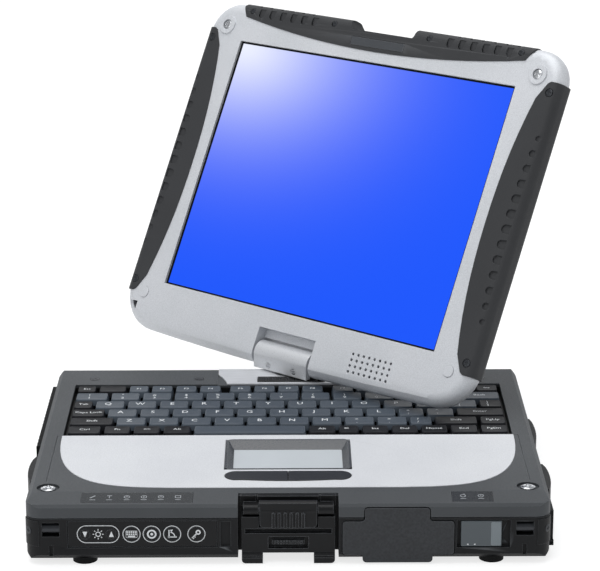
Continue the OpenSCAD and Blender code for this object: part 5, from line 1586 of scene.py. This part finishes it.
    def lamp_signs(self) -> list[list[Shell]]:
        """A sign for each lamp: pen, mast, letter, digit, letter, disk, battery and power.

        Returns:
            The parts of each sign.
        """
        pen = [self.stroke((-1.3, -1.0), (1.4, 1.4), 0.7)]
        mast = [self.stroke((0, -1.3), (0, 1.3), 0.45), self.stroke((-1.3, 1.3), (1.3, 1.3), 0.6)]
        digit = [self.ring(1.6, 0.45), self.stroke((0, -0.8), (0, 0.8), 0.5)]
        letter = [self.ring(1.6, 0.45), self.stroke((-0.6, 0.4), (0.6, 0.4), 0.5)]
        disk = [self.band(rounded_box(1.6, 1.4, 0.3), rounded_box(1.15, 0.95, 0.2))]
        cell = [self.ring(1.5, 0.45), self.stroke((-0.5, 1.2), (0.9, 1.9), 0.5)]
        power = [self.ring(1.6, 0.45), self.stroke((0, 0.0), (0, 1.5), 0.5)]
        return [pen, mast, letter, digit, letter, disk, cell, power]

    def lamp_marks(self) -> Shell:
        """The lamps' signs, each over a short line, on the deck's front slope.

        Returns:
            All of them, in their places.
        """
        slope = math.radians(self.slope_deg)
        up = (0.0, math.cos(slope), math.sin(slope))
        foot_y, foot_z = self.slope_foot
        y = foot_y + self.slope_way * up[1]
        z = foot_z + self.slope_way * up[2] + self.slope_lift
        under = self.stroke((-1.5, -3.0), (1.5, -3.0), 0.5)
        marks = []
        for x, sign in zip(self.lamp_xs, self.lamp_signs()):
            place = Plane((x, y, z), (1.0, 0.0, 0.0), up)
            marks += [place.place(mark) for mark in [*sign, under]]
        return joined(marks)

    def build(self, shop: Workshop) -> None:
        """Prints the panel, each button and the lamp windows.

        Args:
            shop: The workshop.
        """
        shop.piece("panel_print", self.panel_marks(), PRINT, "base")
        shop.piece("lamp_print", self.lamp_marks(), MARK, "base")
        for body, (x, sign) in self.signs().items():
            placed = [self.on_front(x, self.button_y).place(s) for s in sign]
            shop.piece(f"{body}_print", joined(placed), PRINT, body)


@dataclass
class PowerKnob:
    """The pale strip and the two dots moulded into the power switch.

    Attributes:
        front: The knob's front.
        low: Its lower edge.
        high: Its upper edge.
        strip: Left and right edges of the strip.
        strip_margin: Room above and below the strip.
        strip_corner: Radius of the strip's corners.
        dots: Middles of the two dots.
        dot_r: Radius of a dot.
        dot_up: Height of the dots above the knob's lower edge.
        proud: How far both stand out of the knob, and reach into it.
    """

    front: float = -108.2
    low: float = 9.7
    high: float = 23.7
    strip: tuple[float, float] = (104.4, 109.6)
    strip_margin: float = 0.5
    strip_corner: float = 0.8
    dots: tuple[float, float] = (92.6, 96.2)
    dot_r: float = 0.45
    dot_up: float = 1.2
    proud: float = 0.06

    def patch(self, x: float, z: float, outline: Array) -> Shell:
        """A thin patch with this outline on the knob's front, centred on (x, z)."""
        place = Plane((x, self.front, z), (1.0, 0.0, 0.0), (0.0, 0.0, 1.0))
        return place.place(plate(outline, -self.proud, self.proud))

    def build(self, shop: Workshop) -> None:
        """Sets both into the knob, so that they slide with it.

        Args:
            shop: The workshop.
        """
        left, right = self.strip
        half_x, half_z = (right - left) / 2, (self.high - self.low) / 2 - self.strip_margin
        outline = rounded_box(half_x, half_z, self.strip_corner)
        strip = self.patch((left + right) / 2, (self.low + self.high) / 2, outline)
        dot = circle(self.dot_r, 16)
        dots = joined([self.patch(x, self.low + self.dot_up, dot) for x in self.dots])
        shop.piece("power_switch_strip", strip, KNOB_STRIP, "power_switch")
        shop.piece("power_switch_dots", dots, PRINT, "power_switch")


@dataclass
class Casings:
    """The rest of the laptop: CAD nodes with eased edges, or dressed as they are.

    Attributes:
        rounded: Node, finish, body, slot, and how far the rounding reaches in from an edge.
        button_round: How far it reaches in on a push button.
        dressed: Each finish, with the nodes that are hidden or small and stay as they are.
    """

    rounded: tuple = (
        ("lower_case", CASE, "base", "case_plastic", 0.35),
        ("upper_case", DECK, "base", "deck_paint", 0.35),
        ("palm_rest", PALM, "base", "silver_paint", 0.2),
        ("touchpad_frame", FRAME, "base", "button_plastic", 0.3),
        ("hinge_plate", PLATE, "base", "hinge_plate_metal", 0.15),
        ("front_bay_cover", COVER, "base", "case_plastic", 0.3),
        ("button_panel", BLACK, "base", "black_plastic", 0.15),
        ("corner_guards", CASE, "base", "bumper_rubber", 0.3),
        ("touch_button_left", BUTTON, "touch_button_left", "button_plastic", 0.3),
        ("touch_button_right", BUTTON, "touch_button_right", "button_plastic", 0.3),
        ("power_switch", KNOB, "power_switch", "switch_grey", 0.4),
        ("release_slider", BLACK, "release_slider", "black_plastic", 0.25),
        ("front_latch", BLACK, "front_latch", "black_plastic", 0.3),
        ("left_port_cover", RUBBER, "left_port_cover", "rubber_black", 0.3),
        ("battery_door", CASE, "battery_door", "case_plastic", 0.3),
        ("hard_drive_door", CASE, "hard_drive_door", "case_plastic", 0.3),
        ("rear_port_cover", RUBBER, "rear_port_cover", "rubber_black", 0.25),
        ("lid_front_bezel", SILVER, "lid", "silver_paint", 0.3),
        ("lid_back_cover", SILVER, "lid", "silver_paint", 0.3),
        ("side_bumpers", BUMPER, "lid", "bumper_rubber", 0.35),
        ("top_bumper", BUMPER, "lid", "bumper_rubber", 0.3),
        ("badge_plate", FRAME, "lid", "badge_metal", 0.1),
        ("lid_caps", SILVER, "lid", "silver_paint", 0.25),
    )
    button_round: float = 0.25
    dressed: tuple = (
        (TRAY, "keyboard_tray"),
        (PAD, "touchpad_surface"),
        (WINDOW, "indicator_windows"),
        (RUBBER, "rubber_feet"),
        (STEEL, "hinge_shafts", "swivel_bearing", "port_block"),
        (GUNMETAL, "steel_pins"),
        (CASE, "bottom_cover"),
        (BLACK, "latch_cradle", "dock_connector", "speaker"),
        (BOARD, "mainboard"),
        (CELL, "battery_pack"),
        (DRIVE, "hard_drive", "heat_plate", "lcd_panel"),
    )

    def build(self, shop: Workshop) -> None:
        """Rounds the outer pieces' edges and dresses what is hidden or small.

        Args:
            shop: The workshop.
        """
        for node, finish, body, slot, width in self.rounded:
            shop.eased(node, finish, body, slot, width)
        for button in FrontPrint().signs():
            shop.eased(button, BLACK, button, "button_plastic", self.button_round, 3)
        for finish, *nodes in self.dressed:
            shop.dress(finish, *nodes)


@dataclass(frozen=True)
class SoftBox:
    """A rectangular lamp with a soft light.

    Attributes:
        name: Its name.
        at: Its place, in metres.
        size: Its width and height, in metres.
        power: Its power in watts.
    """

    name: str
    at: tuple[float, float, float]
    size: tuple[float, float]
    power: float

    def build(self, aim: Vector) -> None:
        """Hangs the lamp up and points it at a place.

        Args:
            aim: The place, in metres.
        """
        light = bpy.data.lights.new(self.name, "AREA")
        light.shape, light.energy = "RECTANGLE", self.power
        light.size, light.size_y = self.size
        thing = bpy.data.objects.new(self.name, light)
        thing.location = self.at
        thing.rotation_mode = "QUATERNION"
        thing.rotation_quaternion = (aim - Vector(self.at)).to_track_quat("-Z", "Y")
        bpy.context.scene.collection.objects.link(thing)


@dataclass
class Studio:
    """A pale floor, soft lamps and the camera.

    Attributes:
        camera_at: The camera's place.
        pitch_deg: How far it looks down.
        yaw_deg: How far it looks round.
        roll_deg: How far it leans over.
        lens_mm: Its focal length.
        sensor_mm: Width of its sensor.
        floor_half: Half the floor's side, in metres.
        floor_grey: What the floor throws back on the laptop.
        floor_shadow: How much of its shadow a camera sees.
        floor_glow: How much is added to that, so that the floor looks nearly white.
        sky: Colour of the light from all round.
        sky_strength: Its strength.
        aim: The point that the lamps point at, in metres.
        lamps: The lamps.
    """

    camera_at: tuple[float, float, float] = (-1.0, -1296.9, 501.4)
    pitch_deg: float = 16.45
    yaw_deg: float = 0.37
    roll_deg: float = 0.08
    lens_mm: float = 148.8
    sensor_mm: float = 36.0
    floor_half: float = 9.0
    floor_grey: float = 0.75
    floor_shadow: float = 0.4
    floor_glow: float = 0.74
    sky: tuple[float, float, float] = (0.95, 0.97, 1.0)
    sky_strength: float = 0.45
    aim: tuple[float, float, float] = (0.0, 0.0, 0.1)
    lamps: tuple = (
        SoftBox("top_box", (-0.15, 0.1, 1.6), (1.8, 1.2), 19.0),
        SoftBox("left_box", (-1.3, -0.9, 0.9), (0.9, 1.2), 4.0),
        SoftBox("right_box", (1.5, -0.7, 0.7), (0.7, 1.2), 1.6),
        SoftBox("back_box", (0.0, 1.6, 0.6), (3.2, 0.7), 5.0),
    )

    def paint(self) -> bpy.types.Material:
        """The floor's paint: nearly white with shadows to a lens, gloss or glass, else grey.

        Returns:
            Its material.
        """
        material, tree = blank("pale_floor")
        rays = add(tree, "ShaderNodeLightPath").outputs
        seen = rays["Is Camera Ray"]
        for other in ("Is Glossy Ray", "Is Transmission Ray"):
            sockets = {0: seen, 1: rays[other]}
            seen = add(tree, "ShaderNodeMath", sockets, operation="MAXIMUM").outputs[0]
        plain, shadow = (
            add(tree, "ShaderNodeBsdfDiffuse", {"Color": (grey, grey, grey, 1)}).outputs[0]
            for grey in (self.floor_grey, self.floor_shadow)
        )
        white = add(tree, "ShaderNodeEmission", {"Strength": self.floor_glow}).outputs[0]
        bright = add(tree, "ShaderNodeAddShader", {0: shadow, 1: white}).outputs[0]
        mixed = add(tree, "ShaderNodeMixShader", {0: seen, 1: plain, 2: bright}).outputs[0]
        add(tree, "ShaderNodeOutputMaterial", {0: mixed})
        return material

    def floor(self) -> None:
        """Lays a wide square floor, which isn't part of the laptop."""
        mesh = bpy.data.meshes.new("floor")
        size = self.floor_half
        corners = [(-size, -size, 0), (size, -size, 0), (size, size, 0), (-size, size, 0)]
        mesh.from_pydata(corners, [], [(0, 1, 2, 3)])
        mesh.materials.append(self.paint())
        thing = bpy.data.objects.new("floor", mesh)
        bpy.context.scene.collection.objects.link(thing)

    def world(self) -> None:
        """Even light from all round, and plain white where the camera looks past the floor."""
        world = bpy.data.worlds.new("studio")
        world.use_nodes = True
        tree = world.node_tree
        tree.nodes.clear()
        rays = add(tree, "ShaderNodeLightPath").outputs
        sky = {"Color": (*self.sky, 1), "Strength": self.sky_strength}
        dim = add(tree, "ShaderNodeBackground", sky).outputs[0]
        white = add(tree, "ShaderNodeBackground", {"Strength": 1.0}).outputs[0]
        mixed = add(
            tree, "ShaderNodeMixShader", {0: rays["Is Camera Ray"], 1: dim, 2: white}
        ).outputs[0]
        add(tree, "ShaderNodeOutputWorld", {0: mixed})
        bpy.context.scene.world = world

    def camera(self) -> None:
        """The camera, from its place and the angles that it looks down, round and over."""
        data = bpy.data.cameras.new("camera")
        data.sensor_width, data.lens = self.sensor_mm, self.lens_mm
        data.clip_start, data.clip_end = 0.05, 50.0
        thing = bpy.data.objects.new("camera", data)
        thing.location = Vector(self.camera_at) * MM
        thing.rotation_euler = (
            math.radians(90 - self.pitch_deg),
            math.radians(self.roll_deg),
            math.radians(-self.yaw_deg),
        )
        bpy.context.scene.collection.objects.link(thing)
        bpy.context.scene.camera = thing

    def build(self) -> None:
        """Sets everything up."""
        bpy.context.scene.view_settings.view_transform = "Standard"
        self.floor()
        self.world()
        for lamp in self.lamps:
            lamp.build(Vector(self.aim))
        self.camera()


def main() -> None:
    """Builds every sub-assembly in order."""
    logging.basicConfig(level=logging.INFO, format="%(message)s")
    shop = Workshop()
    for assembly in (
        Casings(), Keyboard(), Screen(), Screws(), Hinge(), FrontPrint(), PowerKnob()
    ):
        assembly.build(shop)
    Studio().build()


if __name__ == "__main__":
    main()
